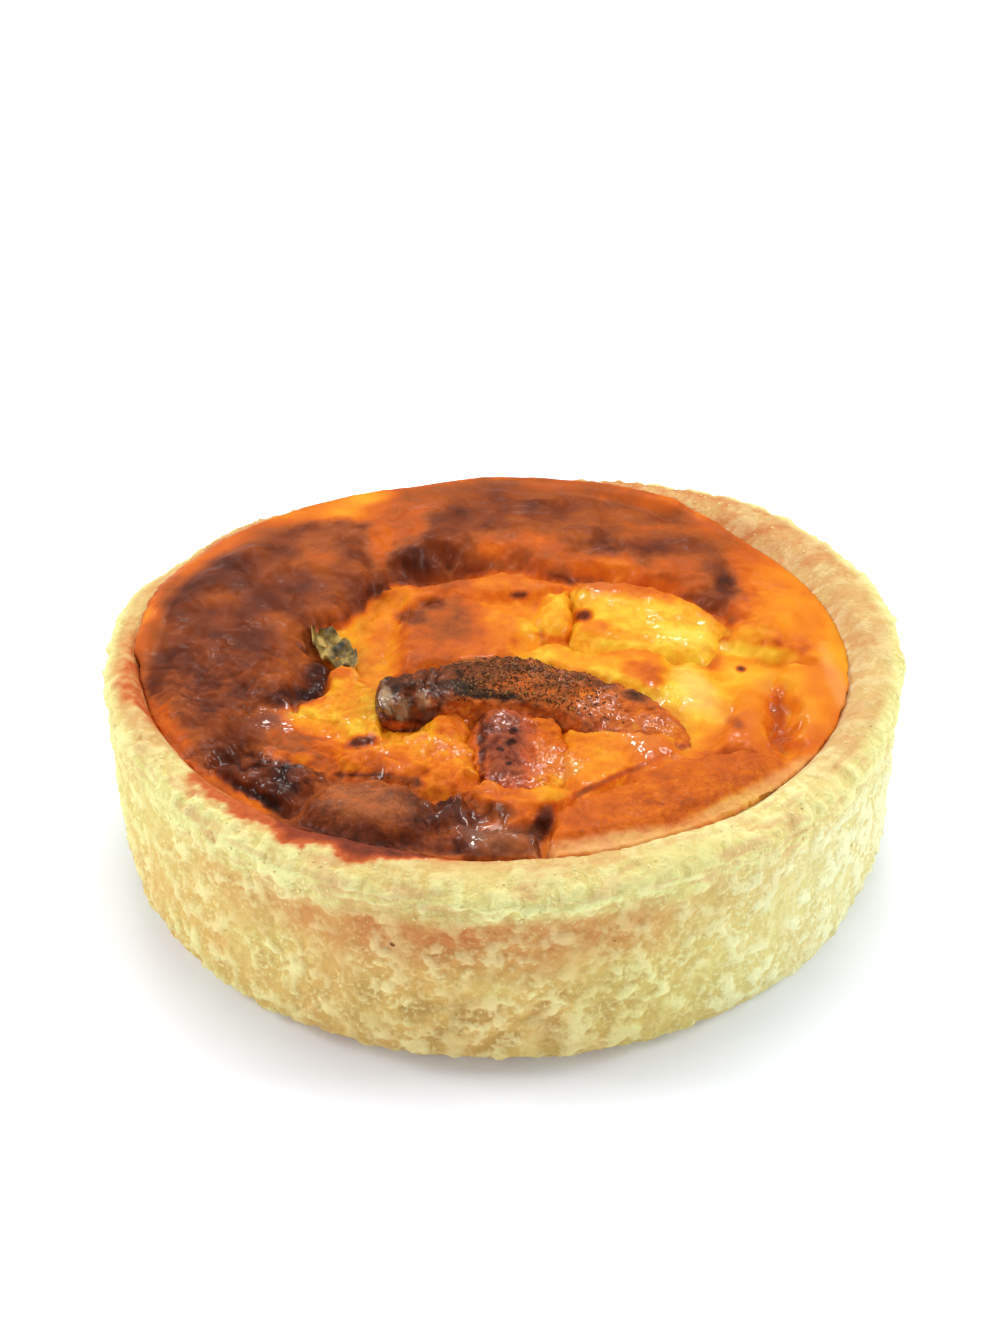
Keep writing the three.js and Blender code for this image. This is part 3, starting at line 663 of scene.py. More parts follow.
# A plate of skin has its outline, its height, its rise to the right and back, the rounding of its shoulder,
# the slope of its broken side, and the browning of its skin and side, from 0, pale yellow, to 1, burnt.
OPENING = [
    (-28, -13), (-27, -8), (-24, -4), (-24.5, 0), (-28, 4), (-27, 8.5), (-22, 12), (-20, 19), (-16, 24),
    (-13, 26), (-9, 27), (-3, 25.5), (3, 26), (9, 22.5), (16, 22.5), (24, 19.5), (30, 14), (31.5, 11),
    (30, 8), (31, 4.5), (36, 2.5), (42, -2), (42, -12), (38, -26), (20, -47), (0, -53), (-24, -46),
    (-33, -36), (-38, -27), (-35, -20), (-33, -14),
]
# The risen skin's broken side is browned darker than its top, partly as painted shade where it overhangs the
# cave on the left.
RISEN_SKIN = (OPENING, 29.2, (-0.012, 0), 3.4, 1.5, 0.74, 0.8)
PLATES = {
    "gold slope": (
        [(8, -19), (14, -18), (20, -20), (22, -22), (20, -24.5), (14, -29), (9.5, -31.5), (8, -27)],
        28.6, (0, 0.1), 1.5, 1, 0.36, 0.38,
    ),
    "shelf": (
        [(-34, -13), (-27, -13), (-24, -14), (-17, -19), (-20, -21.5), (-23, -24.5), (-30, -24),
         (-36, -20)],
        28, (-0.08, 0), 2, 0.8, 0.3, 0.4,
    ),
    "behind the slab": (
        [(-18, 21), (-8, 22), (0, 24), (8, 21), (8, 18), (2, 18), (-3, 17.5), (-9, 18), (-13, 16)],
        29, (0, 0), 2, 1, 0.44, 0.4,
    ),
    "slab": (
        [(-15, 10), (-14, 14), (-10.5, 15.5), (-8, 17.5), (-3, 17), (2, 13.5), (4, 11), (3, 5), (1, 0),
         (-3, -2), (-12, -2.5), (-16, -4), (-15, 3)],
        29.8, (-0.02, 0.05), 2.6, 1.3, 0.46, 0.32,
    ),
    "fold": (
        [(1, 1), (4, 4), (8, 5), (13, 3), (17, 4), (22, 2), (24, -3), (20, -7), (14, -5), (8, -3),
         (3, -1.5)],
        28.9, (0, 0), 2, 1, 0.3, 0.2,
    ),
    "yellow nub": (
        [(4.5, 12), (6, 17.5), (9, 18.5), (9.5, 12), (8, 8.5), (5.5, 8.5)],
        29.4, (0, 0.05), 1.4, 1.3, 0.17, 0.3,
    ),
    "pale shoulder": (
        [(22, -1), (27, -1), (30, -5), (28, -12), (25, -17), (23, -10), (21, -6)],
        28.1, (0, 0.05), 3, 0.6, 0.17, 0.24,
    ),
    "right band": (
        [(42, -1), (47, -2), (46.5, -12), (43, -20), (39.5, -26), (37.5, -22), (38, -14), (37.5, -7),
         (38, -1)],
        28.9, (0.05, 0), 2, 1.5, 0.32, 0.45,
    ),
    "right lump": (
        [(32, -6), (36, -7), (36, -14), (35.5, -20), (33, -23), (27, -22), (29, -17), (31, -12)],
        29, (0, 0), 2.4, 1.2, 0.36, 0.4,
    ),
    "flap": (
        [(6, -36.5), (10, -32.5), (14, -30), (20, -25), (23.5, -23.2), (29, -22.6), (34, -23.8),
         (41, -25), (38, -33), (28, -41), (16, -45), (5, -48), (4.5, -42)],
        30, (0, 0.03), 1.3, 2.2, 0.47, 0.5,
    ),
    "front lump": (
        [(-25, -31), (-22, -29.5), (-17, -28.6), (-12.5, -30), (-8.5, -33), (-7, -37), (-9, -41),
         (-16, -43.5), (-24, -41), (-26, -36)],
        29.9, (0, 0.02), 3, 1.3, 0.67, 0.85,
    ),
    "front band": (
        [(-28, -40), (-20, -42.5), (-10, -41.5), (-4, -40), (2, -40.5), (4, -43), (3.5, -48), (-10, -50),
         (-23, -46)],
        29, (0, 0), 1.5, 1.2, 0.82, 0.9,
    ),
    "bead": (
        [(-5, -44), (-4, -40), (-1, -38), (2.5, -38.5), (4, -41), (3.5, -46), (-1, -47.5)],
        29.8, (0, 0), 2.6, 1.4, 0.76, 0.88,
    ),
    "under the meat": (
        [(-5.5, -30.5), (-2, -30), (4, -30), (9, -31), (7, -35.5), (2, -37.5), (-3, -36.5)],
        28.9, (0, 0.03), 2.2, 1.2, 0.42, 0.5,
    ),
    "burnt ridge": (
        [(-38, -25), (-35, -23.5), (-30, -24.5), (-24, -25), (-22, -28), (-23, -30), (-27, -33),
         (-31, -31.5), (-36, -28)],
        29.6, (0, 0), 2, 1.4, 0.82, 0.85,
    ),
    "yellow ridge": (
        [(-22.5, -25), (-20.5, -21.5), (-18.5, -20.3), (-16, -20), (-11, -17.5), (-8, -19.5), (-4, -20.5),
         (-3.5, -27), (-5, -31), (-9, -31.5), (-15, -29), (-20, -28)],
        29.2, (0, 0.08), 1.8, 1.5, 0.28, 0.4,
    ),
    "pink nub": (
        [(-9, -12), (-5, -12), (-4.5, -17), (-6, -20), (-9.5, -18.5), (-10, -15)],
        29.6, (0, 0), 1.6, 1.4, 0.44, 0.4,
    ),
    "burnt bump": (
        [(-8, -33), (-5.5, -33), (-4.5, -35), (-6, -37), (-8, -36)],
        29.8, (0, 0), 1.2, 1.4, 0.9, 0.8,
    ),
    "torn ledge": (
        [(-27.5, -9.5), (-24.5, -7), (-24, -4), (-22, -2.5), (-20.5, -5), (-18.5, -8), (-16.5, -10.5),
         (-16, -17), (-18, -19.5), (-24, -14), (-27, -13)],
        29, (0, 0.14), 0.8, 2.2, 0.2, 0.3,
    ),
}
HUMPS = [
    (-38, 6, 17, 8, 100, 1.7), (-27, 27, 10, 7, 55, 1), (6, 31, 22, 8, -4, 1.8), (28, 24, 9, 7, 50, 0.8),
    (39, 8, 10, 6, 80, 0.8), (22, -33.5, 10, 4, 25, 0.4), (-16.5, -38.5, 6.4, 4, -10, 1.3),
    (-13, -28, 9, 2, -12, 0.7), (-46.5, 5, 10, 2.2, 95, 0.4),
]
PITS = [
    (-26, -7, 5, 2.6, 100, 1.6), (-9, 25, 8, 2, 5, 2.2), (5, -42, 5, 1, 75, 2.4),
    (36.6, -16, 6, 1, 88, 1.3), (11, -33, 10, 0.8, 38, 1), (9.8, 11, 6, 0.6, 88, 1),
    (8, 3, 4, 0.7, -30, 0.7), (-13, 9.5, 4, 0.8, 60, 0.9), (-27, -36, 3, 2, -20, 1.2),
    (37, -0.6, 6, 0.9, -32, 0.8), (-9, -39, 3.4, 0.9, 70, 0.9), (-20, 10, 8, 1.5, 80, 0.8),
]
HUMP_LOSS_AT_WALL = 0.7
BEND_X = [(1.9, 9.0, 3, 2), (0.9, 2.8, 33, 3)]
BEND_Y = [(1.9, 9.0, 4, 2), (0.9, 2.8, 34, 3)]
BLISTERS = [(1.5, 9.0, 5, 2), (0.5, 3.6, 9, 2)]
BLISTER_LEVEL = 0.4
RIPPLES = [(0.26, 4.0, 10, 3)]
RIPPLE_LEAST = 0.35
RIPPLED_LEFT = (-12, 4)
RIPPLED_FRONT = (-4, 12)
SKIN_SIDE_SPAN = (-0.9, 1.2)
SKIN_OVERLAP = (-0.7, 0.7)
BROWNED_SKIN = (0.5, 0.7)


def mixed(first, second, share):
    return first + (second - first) * share


def inside_distance(x, y, outline):
    """Distance from an outline's edge, positive inside it."""
    nearest = np.full(x.shape, np.inf)
    inside = np.zeros(x.shape, dtype=bool)
    for (ax, ay), (bx, by) in zip(outline, outline[1:] + outline[:1]):
        dx, dy = bx - ax, by - ay
        share = np.clip(((x - ax) * dx + (y - ay) * dy) / (dx * dx + dy * dy), 0, 1)
        nearest = np.minimum(nearest, np.hypot(x - ax - share * dx, y - ay - share * dy))
        if ay != by:
            inside ^= ((ay > y) != (by > y)) & (x < dx * (y - ay) / dy + ax)
    return np.where(inside, nearest, -nearest)


def soft_max(first, second, blend):
    overlap = np.clip(1 - np.abs(first - second) / blend, 0, 1)
    return np.maximum(first, second) + blend * overlap**2 / 4


def lowered(outline, height):
    """An outline seen at the rim's height, moved to where it lies at its own height."""
    return [(at_x, at_y - SIGHT_SLOPE * (height - SIGHT_HEIGHT)) for at_x, at_y in outline]


def plate_top(plate, x, y, bent_x, bent_y, side=1):
    """Height of a plate and the distance inside its edge; a side of -1 is the plate round an opening."""
    outline, height, (rise_right, rise_back), shoulder, cliff = plate[:5]
    outline = lowered(outline, height)
    inside = side * inside_distance(bent_x, bent_y, outline)
    mid_x, mid_y = (0, 0) if side < 0 else np.mean(outline, axis=0)
    rounded = np.clip(shoulder - inside, 0, shoulder) ** 2 / (2 * shoulder)
    level = height + rise_right * (x - mid_x) + rise_back * (y - mid_y)
    return level - cliff * (rounded + np.maximum(0, -inside)), inside


def overflow(angle):
    """How far the custard has climbed to the rim at an angle, and its reach over the rim."""
    share = overflow_share(angle)
    rag = EDGE_MARGIN + unevenness(points_round(RIM_RADIUS, angle, 0.0), EDGE_RAG)
    return smooth(share, *OVERFLOW_LIFT), share * (rim_edge(angle) - hollow_edge(angle)) + rag


def edge_of_custard(radius, angle):
    """Height of the custard's edge, where it climbs the wall or lies on the rim."""
    wall = hollow_edge(angle)
    lift, reach = overflow(angle)
    past = (radius - wall) / np.maximum(reach, OVERFLOW_LEAST)
    thickness = OVERFLOW_THICKNESS * (1 - OVERFLOW_THINNING * smooth(past, *THINNING_SPAN))
    crest = mixed(wall, rim_edge(angle), RIM_CREST)
    on_rim = rim_top(np.maximum(radius, crest), angle) + thickness
    return mixed(LEVEL + WALL_CLIMB, on_rim, lift)


def custard_surface(x, y):
    """Height and browning of the custard's surface."""
    radius, angle = np.hypot(x, y), np.arctan2(y, x)
    wall = hollow_edge(angle)
    wall_top = edge_of_custard(radius, angle)
    near_wall = smooth(radius, wall - CLIMB_REACH, wall)
    at_wall = smooth(radius - wall, *WALL_SEAL)
    edge = mixed(LEVEL, wall_top, near_wall)
    flat = points_at(x, y)
    bent_x, bent_y = x + unevenness(flat, BEND_X), y + unevenness(flat, BEND_Y)
    top = edge
    browning = np.full(x.shape, LEVEL_BROWNING)
    for plate, side in [(RISEN_SKIN, -1)] + [(plate, 1) for plate in PLATES.values()]:
        height, inside = plate_top(plate, x, y, bent_x, bent_y, side)
        skin_browning, side_browning = plate[5:]
        height = height + at_wall * np.minimum(0, wall_top - height)
        own = mixed(side_browning, skin_browning, smooth(inside, *SKIN_SIDE_SPAN))
        browning = mixed(browning, own, smooth(height - top, *SKIN_OVERLAP))
        top = soft_max(top, height, SKIN_BLEND)
    top = top + swells(HUMPS, bent_x, bent_y) * (1 - HUMP_LOSS_AT_WALL * near_wall)
    top = top - swells(PITS, bent_x, bent_y)
    bent = points_at(bent_x, bent_y)
    blisters = sum(np.abs(unevenness(bent, [layer])) for layer in BLISTERS) - BLISTER_LEVEL
    rippled = smooth(-x, *RIPPLED_LEFT) * smooth(-y, *RIPPLED_FRONT)
    ripples = unevenness(flat, RIPPLES) * mixed(RIPPLE_LEAST, 1.0, rippled)
    top = top + (1 - near_wall) * (smooth(browning, *BROWNED_SKIN) * blisters + ripples)
    return np.where(radius > wall, edge, top), browning


def disc_grid(cells):
    """Points of a square grid rounded to a unit disc, its quads and its border."""
    line = np.linspace(-1, 1, cells + 1)
    v, u = np.meshgrid(line, line, indexing="ij")
    disc_x, disc_y = u * np.sqrt(1 - v**2 / 2), v * np.sqrt(1 - u**2 / 2)
    row = cells + 1
    faces = [
        (j * row + i, j * row + i + 1, (j + 1) * row + i + 1, (j + 1) * row + i)
        for j in range(cells)
        for i in range(cells)
    ]
    border = [i for i in range(cells)] + [j * row + cells for j in range(cells)]
    border += [cells * row + cells - i for i in range(cells)] + [(cells - j) * row for j in range(cells)]
    return disc_x.ravel(), disc_y.ravel(), faces, border


def closed_below(points, faces, border, rings):
    """A sheet closed by rings of points below its border and a last face."""
    above = np.array(border)
    following = np.roll(np.arange(len(border)), -1)
    for ring_points in rings:
        below = len(points) + np.arange(len(border))
        points = np.vstack([points, ring_points])
        faces = faces + np.stack([above, below, below[following], above[following]], axis=-1).tolist()
        above = below
    return points, faces + [above[::-1].tolist()]


disc_x, disc_y, custard_faces, border = disc_grid(CUSTARD_CELLS)
disc_angle = np.arctan2(disc_y, disc_x)
side_radius = hollow_edge(disc_angle) - GAP
edge_radius = side_radius + overflow(disc_angle)[1]
custard_x = np.hypot(disc_x, disc_y) * edge_radius * np.cos(disc_angle)
custard_y = np.hypot(disc_x, disc_y) * edge_radius * np.sin(disc_angle)
custard_top, skin_browning = custard_surface(custard_x, custard_y)
wall_share = side_radius[border] / edge_radius[border]
custard_rings = []
for drop, inwards in [(LIP_DROP, 1.0)] + [(drop, share * wall_share) for drop, share in SIDE_DROPS]:
    ring_z = np.maximum(custard_top[border] - drop, FLOOR + GAP)
    custard_rings.append(points_at(custard_x[border] * inwards, custard_y[border] * inwards, ring_z))
upper_face = points_at(custard_x, custard_y, custard_top)
custard_points, custard_faces = closed_below(upper_face, custard_faces, border, custard_rings)
custard = add_piece("custard", custard_points, custard_faces)

# Browning of the custard, in spots painted in order: x, y, half length, half width, turn, browning and cover.
# A few dark spots are painted shade, in the cave under the left hump and in a crevice by the bead. Other
# spots, in the same form, say where it is wet, where a milky tint gives a pale edge and a painted sheen, and
# where it is wrinkled, grainy or mottled.
SPOTS = [
    (-47, 27, 9, 4, 55, 0.48, 0.9), (-38, 38, 10, 5, 42, 0.46, 0.9), (-27, 44, 9, 4.5, 30, 0.4, 0.9),
    (-23, 43.5, 4, 4, 0, 0.25, 0.8), (-14, 46, 7, 5, 20, 0.6, 0.9), (-21, 47.6, 4, 2, 20, 0.22, 0.8),
    (-5, 49, 10, 5, 8, 0.66, 0.8), (8, 51, 12, 4, -4, 0.7, 0.8), (-6, 39, 6, 7, 0, 0.77, 0.8),
    (2, 42, 7, 7, 0, 0.72, 0.7), (20, 44, 7, 8, -30, 0.64, 0.6), (12, 42, 7, 4, 0, 0.64, 0.6),
    (26, 36, 6, 8, 0, 0.68, 0.8), (17, 38, 2, 7, 0, 0.62, 0.7), (-15, 37, 3, 8, 0, 0.52, 0.8),
    (-18.5, 34, 2, 9, 0, 0.44, 0.8), (-25, 33, 5, 5, 0, 0.66, 0.8), (-35, 33, 6, 5, 40, 0.7, 0.8),
    (-4, 37.5, 4, 4, 0, 0.78, 0.8), (-3, 34, 10, 2.4, 8, 0.62, 0.7), (8, 36, 6, 3, 0, 0.6, 0.7),
    (-13.5, 28, 3, 3, 20, 0.84, 0.9), (-6, 29, 5, 2.6, 0, 0.68, 0.9), (2, 31, 6, 3, 0, 0.5, 0.9),
    (9, 29, 4, 3, 0, 0.66, 0.8), (5, 26, 5, 2.4, 0, 0.5, 0.8), (15, 25, 6, 4, -10, 0.33, 0.8),
    (20, 25, 4, 3, -30, 0.44, 0.8), (22, 20.5, 5, 1.8, -25, 0.4, 0.8), (23, 28, 4, 3.4, 0, 0.86, 0.8),
    (0, 22.5, 6, 2, 5, 0.4, 0.8), (-10, 21, 4, 3, 10, 0.68, 0.8), (26, 25, 4, 6, 20, 0.52, 0.7),
    (31, 17, 2.4, 6, 0, 0.68, 0.8), (32, 20, 1.4, 2.6, 0, 0.86, 0.8), (36, 24, 3, 6, 10, 0.46, 0.8),
    (41, 24, 5, 6, 30, 0.4, 0.9), (34, 34, 4, 7, 30, 0.54, 0.7), (43, 12, 5, 13, 8, 0.39, 1),
    (45, 0, 3, 7, 0, 0.25, 1), (39, 11, 6, 8, 20, 0.33, 0.9), (34, 6, 3, 3, 0, 0.18, 0.8),
    (46.5, 4, 2, 9, 0, 0.2, 0.8), (37, 1, 6, 2.4, -20, 0.13, 0.9), (-40, 23, 4.4, 6, 20, 0.82, 0.7),
    (-46, 16, 3.4, 6.5, 0, 0.76, 0.7), (-46, 7, 3, 3, 0, 0.79, 0.7), (-32, 30, 4.4, 4, 0, 0.73, 0.7),
    (-24, 23, 4, 4, 0, 0.68, 0.8), (-28, 27, 3, 3, 0, 0.64, 0.7), (-31, 14, 4.4, 5, 0, 0.8, 0.7),
    (-26, 12.5, 3, 3, 0, 0.6, 0.7), (-38, 9, 5, 5, 0, 0.8, 0.8), (-30, 7, 3.6, 5, 10, 0.64, 0.7),
    (-27, 2, 2.4, 4, 0, 0.68, 0.8), (-37, 1, 4.4, 4.4, 0, 0.75, 0.7), (-36, 5.6, 4, 3.4, 0, 0.82, 0.7),
    # Painted shadow: the dark spots at -25.5, -5 and -28.5, -10 lie in the cave under the left hump's
    # overhang.
    (-45.5, -1, 3, 3.6, 0, 0.8, 0.7), (-31, -4, 4, 4, 0, 0.62, 0.7), (-25.5, -5, 1.6, 4, 5, 0.86, 0.8),
    (-35, -9, 6, 3.4, 10, 0.71, 0.8), (-28.5, -10, 3, 2.4, 0, 0.88, 0.9),
    (-43, -12, 6, 3.4, 60, 0.68, 0.7), (-36, -18, 5, 4.4, 40, 0.71, 0.9),
    (-49.5, 2, 1.6, 12, -4, 0.66, 0.8), (-45, -17, 8, 2.4, -60, 0.54, 0.9), (-17, 8, 8, 2, 82, 0.34, 0.9),
    (-15.5, 16, 4, 2, 75, 0.34, 0.8), (-8.5, 8, 5, 7, 0, 0.63, 0.8), (-9, 13, 4, 4, 0, 0.68, 0.8),
    (-13.5, 11, 2, 2.4, 60, 0.78, 0.8), (-10, 14.5, 2, 1.6, 30, 0.76, 0.8),
    (1, 10, 4.5, 4.5, 0, 0.34, 0.8), (5, 8, 3, 4, -30, 0.14, 0.8), (-6, 1, 5, 3, 0, 0.5, 0.8),
    (-12, 2, 2.5, 5, 0, 0.54, 0.8), (2, 17.8, 1.2, 1.2, 0, 0.86, 0.9), (0.5, 20, 4, 1.8, 5, 0.34, 0.8),
    (8, 4.6, 4, 0.8, -28, 0.54, 0.7), (7, 0, 6, 2, -8, 0.26, 0.9), (3, 2.5, 2.4, 2, 0, 0.22, 0.8),
    (17, 2, 4, 1.8, 0, 0.4, 0.8), (14, -4, 5, 1.2, -28, 0.16, 0.8), (18.5, -3, 2.4, 2.2, 0, 0.53, 0.8),
    (20, -6, 1.6, 1.2, 0, 0.53, 0.8), (28.5, -0.5, 1.4, 2.4, 0, 0.48, 0.8), (25, -8, 3, 5, 10, 0.1, 0.9),
    (27, -13, 2, 4, 15, 0.14, 0.8), (23.5, -19, 3, 3, 0, 0.28, 0.8), (33.5, -4, 3, 3, 0, 0.14, 0.8),
    (37, -6, 3, 3, 0, 0.2, 0.7), (34, 2, 4, 1.8, -30, 0.1, 0.9), (43, -4, 3, 3, 0, 0.22, 0.7),
    (43.5, -10, 2.4, 11, 10, 0.39, 0.9), (40, -21, 2, 4, -20, 0.44, 0.8),
    (36.6, -14, 1, 6, -4, 0.54, 0.9), (37, -21.5, 3, 1.8, 0, 0.56, 0.8),
    (32.5, -13, 1.8, 5, 0, 0.34, 0.8), (30.5, -16.5, 0.9, 1.6, 0, 0.6, 0.8), (29, -21, 3, 2, 0, 0.4, 0.8),
    (32.5, -2.6, 0.7, 0.8, 0, 0.9, 0.9), (30, -25.5, 7, 3, 10, 0.52, 0.7), (26, -32, 7, 4, 30, 0.52, 0.6),
    (36.5, -29, 7, 2.6, 42, 0.33, 0.9), (28, -35.8, 7, 2.2, 36, 0.2, 0.9),
    (14, -43.4, 9, 2.4, 14, 0.2, 0.9), (13, -36.5, 5, 2.4, 20, 0.54, 0.6), (21, -31, 4, 2, 30, 0.4, 0.5),
    # Painted shade: the dark spot at 4.5, -40 darkens the crevice beside the bead.
    (31, -27.5, 4, 1.6, 10, 0.44, 0.5), (4.5, -40, 1.2, 4.6, -14, 0.88, 0.9),
    (11, -31.5, 10, 0.6, 38, 0.76, 0.8), (-26, -15, 3.4, 1.8, -10, 0.19, 0.9),
    (-20.5, -12, 2.4, 4.5, 10, 0.25, 0.8), (-32.5, -16, 3.6, 4.4, 0, 0.72, 0.9),
    (-29, -21, 6, 3, -10, 0.7, 0.9), (-24, -17.5, 3.4, 1.8, -30, 0.3, 0.8),
    (-22.5, -22, 3, 1.6, -20, 0.4, 0.8), (-22.5, -4, 1.4, 1.4, 0, 0.48, 0.9),
    (-33, -26.5, 8, 4, -25, 0.76, 0.9), (-28, -31, 7, 3.4, -30, 0.76, 0.9),
    (-23, -37, 6, 3, -24, 0.77, 0.9), (-36, -24.5, 2.4, 1.2, -30, 0.83, 0.8),
    (-29.6, -26.4, 2.4, 1.2, -10, 0.82, 0.7), (-26, -33, 3.4, 1.4, -40, 0.84, 0.7),
    (-13, -40, 13, 4.6, -5, 0.75, 0.9), (-23.5, -26, 1.8, 2, 10, 0.76, 0.7),
    (-38, -31, 11, 2.4, -46, 0.48, 0.9), (-22, -42, 9, 2.4, -24, 0.78, 0.8),
    (-18, -25, 3, 2, -20, 0.46, 0.8), (-13, -24.6, 5, 1.6, 0, 0.44, 0.8),
    (-12, -21.4, 4, 1.2, 8, 0.22, 0.9), (-18.9, -21, 2, 1.5, 30, 0.9, 0.9),
    (-8, -22.6, 4.6, 3.4, 0, 0.27, 0.9), (-12, -27.5, 5, 1.4, -10, 0.52, 0.8),
    (-7.5, -28.5, 3, 2.4, 0, 0.44, 0.8), (-10.5, -17, 1.6, 1.8, 0, 0.2, 0.8),
    (-5, -31.5, 3.4, 2.4, 0, 0.5, 0.8), (-18, -34, 7, 5, -10, 0.64, 0.9),
    (-12.5, -36, 2.4, 4, 20, 0.73, 0.7), (-10, -40, 2, 2.6, 20, 0.81, 0.8),
    (-22.5, -37, 3, 3, 0, 0.73, 0.6), (-17, -28.8, 5, 0.7, -4, 0.84, 0.7),
    (-12, -30, 2, 1.2, -30, 0.84, 0.8), (-2.5, -36.5, 4.4, 2.2, 0, 0.71, 0.9),
    (6, -33, 2.4, 1.8, -20, 0.24, 0.8), (0, -43, 4, 2.6, 0, 0.62, 0.8),
]
WET_SPOTS = [
    (-38, 8, 10, 20, 10, 0.05, 1), (5, 33, 14, 4, 8, 0.04, 1), (-27, -15, 5, 4, 0, 0.9, 1),
    (-20, -10, 5, 8, 0, 0.5, 1), (-12, -24, 12, 5, -8, 0.45, 1), (-29, -28, 9, 5, -20, 0.3, 1),
    (-7, -15, 4, 4, 0, 0.7, 1), (12, -24, 9, 7, 20, 0.9, 1), (0, -42, 5, 4, 0, 1, 1),
    (-6, -35, 4, 4, 0, 0.9, 1), (24, -8, 5, 8, 0, 0.5, 1), (34, -10, 8, 12, 0, 0.4, 1),
    (20, -33, 16, 6, 28, 0.02, 1), (0, 4, 14, 8, 0, 0.15, 1),
]
# The milky tint is partly the pale edge of custard along the rim, on the flap and the right side, and partly
# painted sheen elsewhere.
MILK_SPOTS = [
    (36.5, -28.6, 7, 1.8, 42, 0.3, 1), (28, -36, 7, 1.8, 36, 0.36, 1), (14, -43.2, 9, 2.2, 14, 0.5, 1),
    (44.8, -6, 1.2, 9, 4, 0.16, 1), (-17, -34, 6, 4, -10, 0.06, 1), (0, -42, 4, 3, 0, 0.08, 1),
    (26, -9, 2.4, 6, 12, 0.25, 1),
]
WRINKLE_SPOTS = [
    (-13, -24, 11, 5, -8, 1.5, 1), (-29, -28, 9, 5, -20, 1.5, 1), (-2, -36, 6, 4, 0, 1.4, 1),
    (22, -32, 18, 9, 28, 0.35, 1), (-16, -37, 9, 6, -10, 0.4, 1), (40, 4, 8, 24, 0, 0.1, 1),
    (-2, 8, 12, 9, 0, 0.2, 1), (-36, -18, 8, 6, 40, 0.3, 1),
]
MOTTLE_SPOTS = [(24, -33, 16, 7, 28, 0.5, 1), (-16, -36, 9, 7, -10, 0.34, 1)]
GRAINY_SPOTS = [(13, -23, 7, 5, 25, 1.5, 1), (24, -33, 16, 7, 28, 0.9, 1), (-16, -37, 8, 6, -10, 0.5, 1)]
SPOT_RAG = [(0.24, 3.5, 6, 3), (0.12, 1.1, 16, 3)]
SPOT_BLUR = (-1.5, -0.5)
SIDE_BROWNING = 0.5
PATCHES = [(1.0, 6.0, 7, 2)]
PATCH_DEPTH = 0.10
BROWN_PATCH_DEPTH = 0.02
FRECKLE_PATCHES = [(1.0, 1.6, 8, 3)]
FRECKLE_DEPTH = 0.01
MIDDLE_FRECKLE_DEPTH = 0.05
MIDDLE_RADIUS = 38.0
MIDDLE_FADE = 16.0
TORN_LEFT = (-24, 0)
TORN_FRONT = (-4, 14)
LEAST_WET = 0.03
LEAST_WRINKLED = 0.15
LEAST_GRAINY = 0.05
LEAST_MOTTLE = 0.03
MIDDLE_MOTTLE = 0.13
TORN_MOTTLE = 0.1


def spotted(points, spots, ground):
    """Values at points: the ground, painted over by each spot in turn with a ragged edge."""
    x = points[:, 0]
    y = points[:, 1] + SIGHT_SLOPE * (points[:, 2] - SIGHT_HEIGHT)
    rag = unevenness(points, SPOT_RAG)
    values = np.zeros(len(points)) + ground
    for *oval, value, cover in spots:
        values = mixed(values, value, cover * smooth(-(out_from(x, y, *oval) + rag), *SPOT_BLUR))
    return values


side_points = len(custard_points) - len(upper_face)
browning = spotted(custard_points, SPOTS, np.append(skin_browning, np.full(side_points, SIDE_BROWNING)))
middle = smooth(MIDDLE_RADIUS - np.hypot(custard_points[:, 0], custard_points[:, 1]), 0, MIDDLE_FADE)
patch_depth = PATCH_DEPTH + BROWN_PATCH_DEPTH * smooth(browning, *BROWNED_SKIN)
browning = browning + patch_depth * unevenness(custard_points, PATCHES)
freckle_depth = FRECKLE_DEPTH + MIDDLE_FRECKLE_DEPTH * middle
browning = browning + freckle_depth * unevenness(custard_points, FRECKLE_PATCHES)
torn = smooth(-custard_points[:, 0], *TORN_LEFT) * smooth(-custard_points[:, 1], *TORN_FRONT)
on_top = np.arange(len(custard_points)) < len(upper_face)
mottle = LEAST_MOTTLE + MIDDLE_MOTTLE * middle + TORN_MOTTLE * torn
set_values(
    custard, browning=np.clip(browning, 0, 1),
    wet=spotted(custard_points, WET_SPOTS, LEAST_WET),
    milk=spotted(custard_points, MILK_SPOTS, 0),
    wrinkled=on_top * spotted(custard_points, WRINKLE_SPOTS, mixed(LEAST_WRINKLED, 1.0, torn)),
    grainy=on_top * spotted(custard_points, GRAINY_SPOTS, mixed(LEAST_GRAINY, 1.0, torn)),
    mottle=spotted(custard_points, MOTTLE_SPOTS, mottle),
)

# The skin of what was baked: creases that wander over it, with painted shade darkening inside them, and small
# grains between them.
STIR_REACH = (0.005, 0.005, 0.005)
CREASE_SLOPE = 4.0
skin, skin_in, skin_out = new_group(
    "Baked relief", "GeometryNodeTree",
    GEOMETRY | {
        "Wrinkle Height": FLOAT, "Wrinkle Scale": FLOAT, "Grain Height": FLOAT, "Grain Scale": FLOAT,
        "Crease Browning": FLOAT,
    } | MATERIAL, GEOMETRY,
)
place = skin.add("GeometryNodeInputPosition").outputs[0]
stir = skin.add("ShaderNodeTexNoise", {"Vector": place, "Scale": 160.0, "Detail": 2.0}).outputs[1]
stir = skin.vector("SUBTRACT", stir, (HALF, HALF, HALF))
stirred = skin.vector("MULTIPLY_ADD", stir, STIR_REACH, place)
folds = skin.clouds(stirred, scale=skin_in["Wrinkle Scale"], detail=3.0)
ridge = skin.times(skin.maths("ABSOLUTE", skin.minus(folds, HALF)), CREASE_SLOPE)
ridge = skin.maths("MINIMUM", ridge, 1.0)
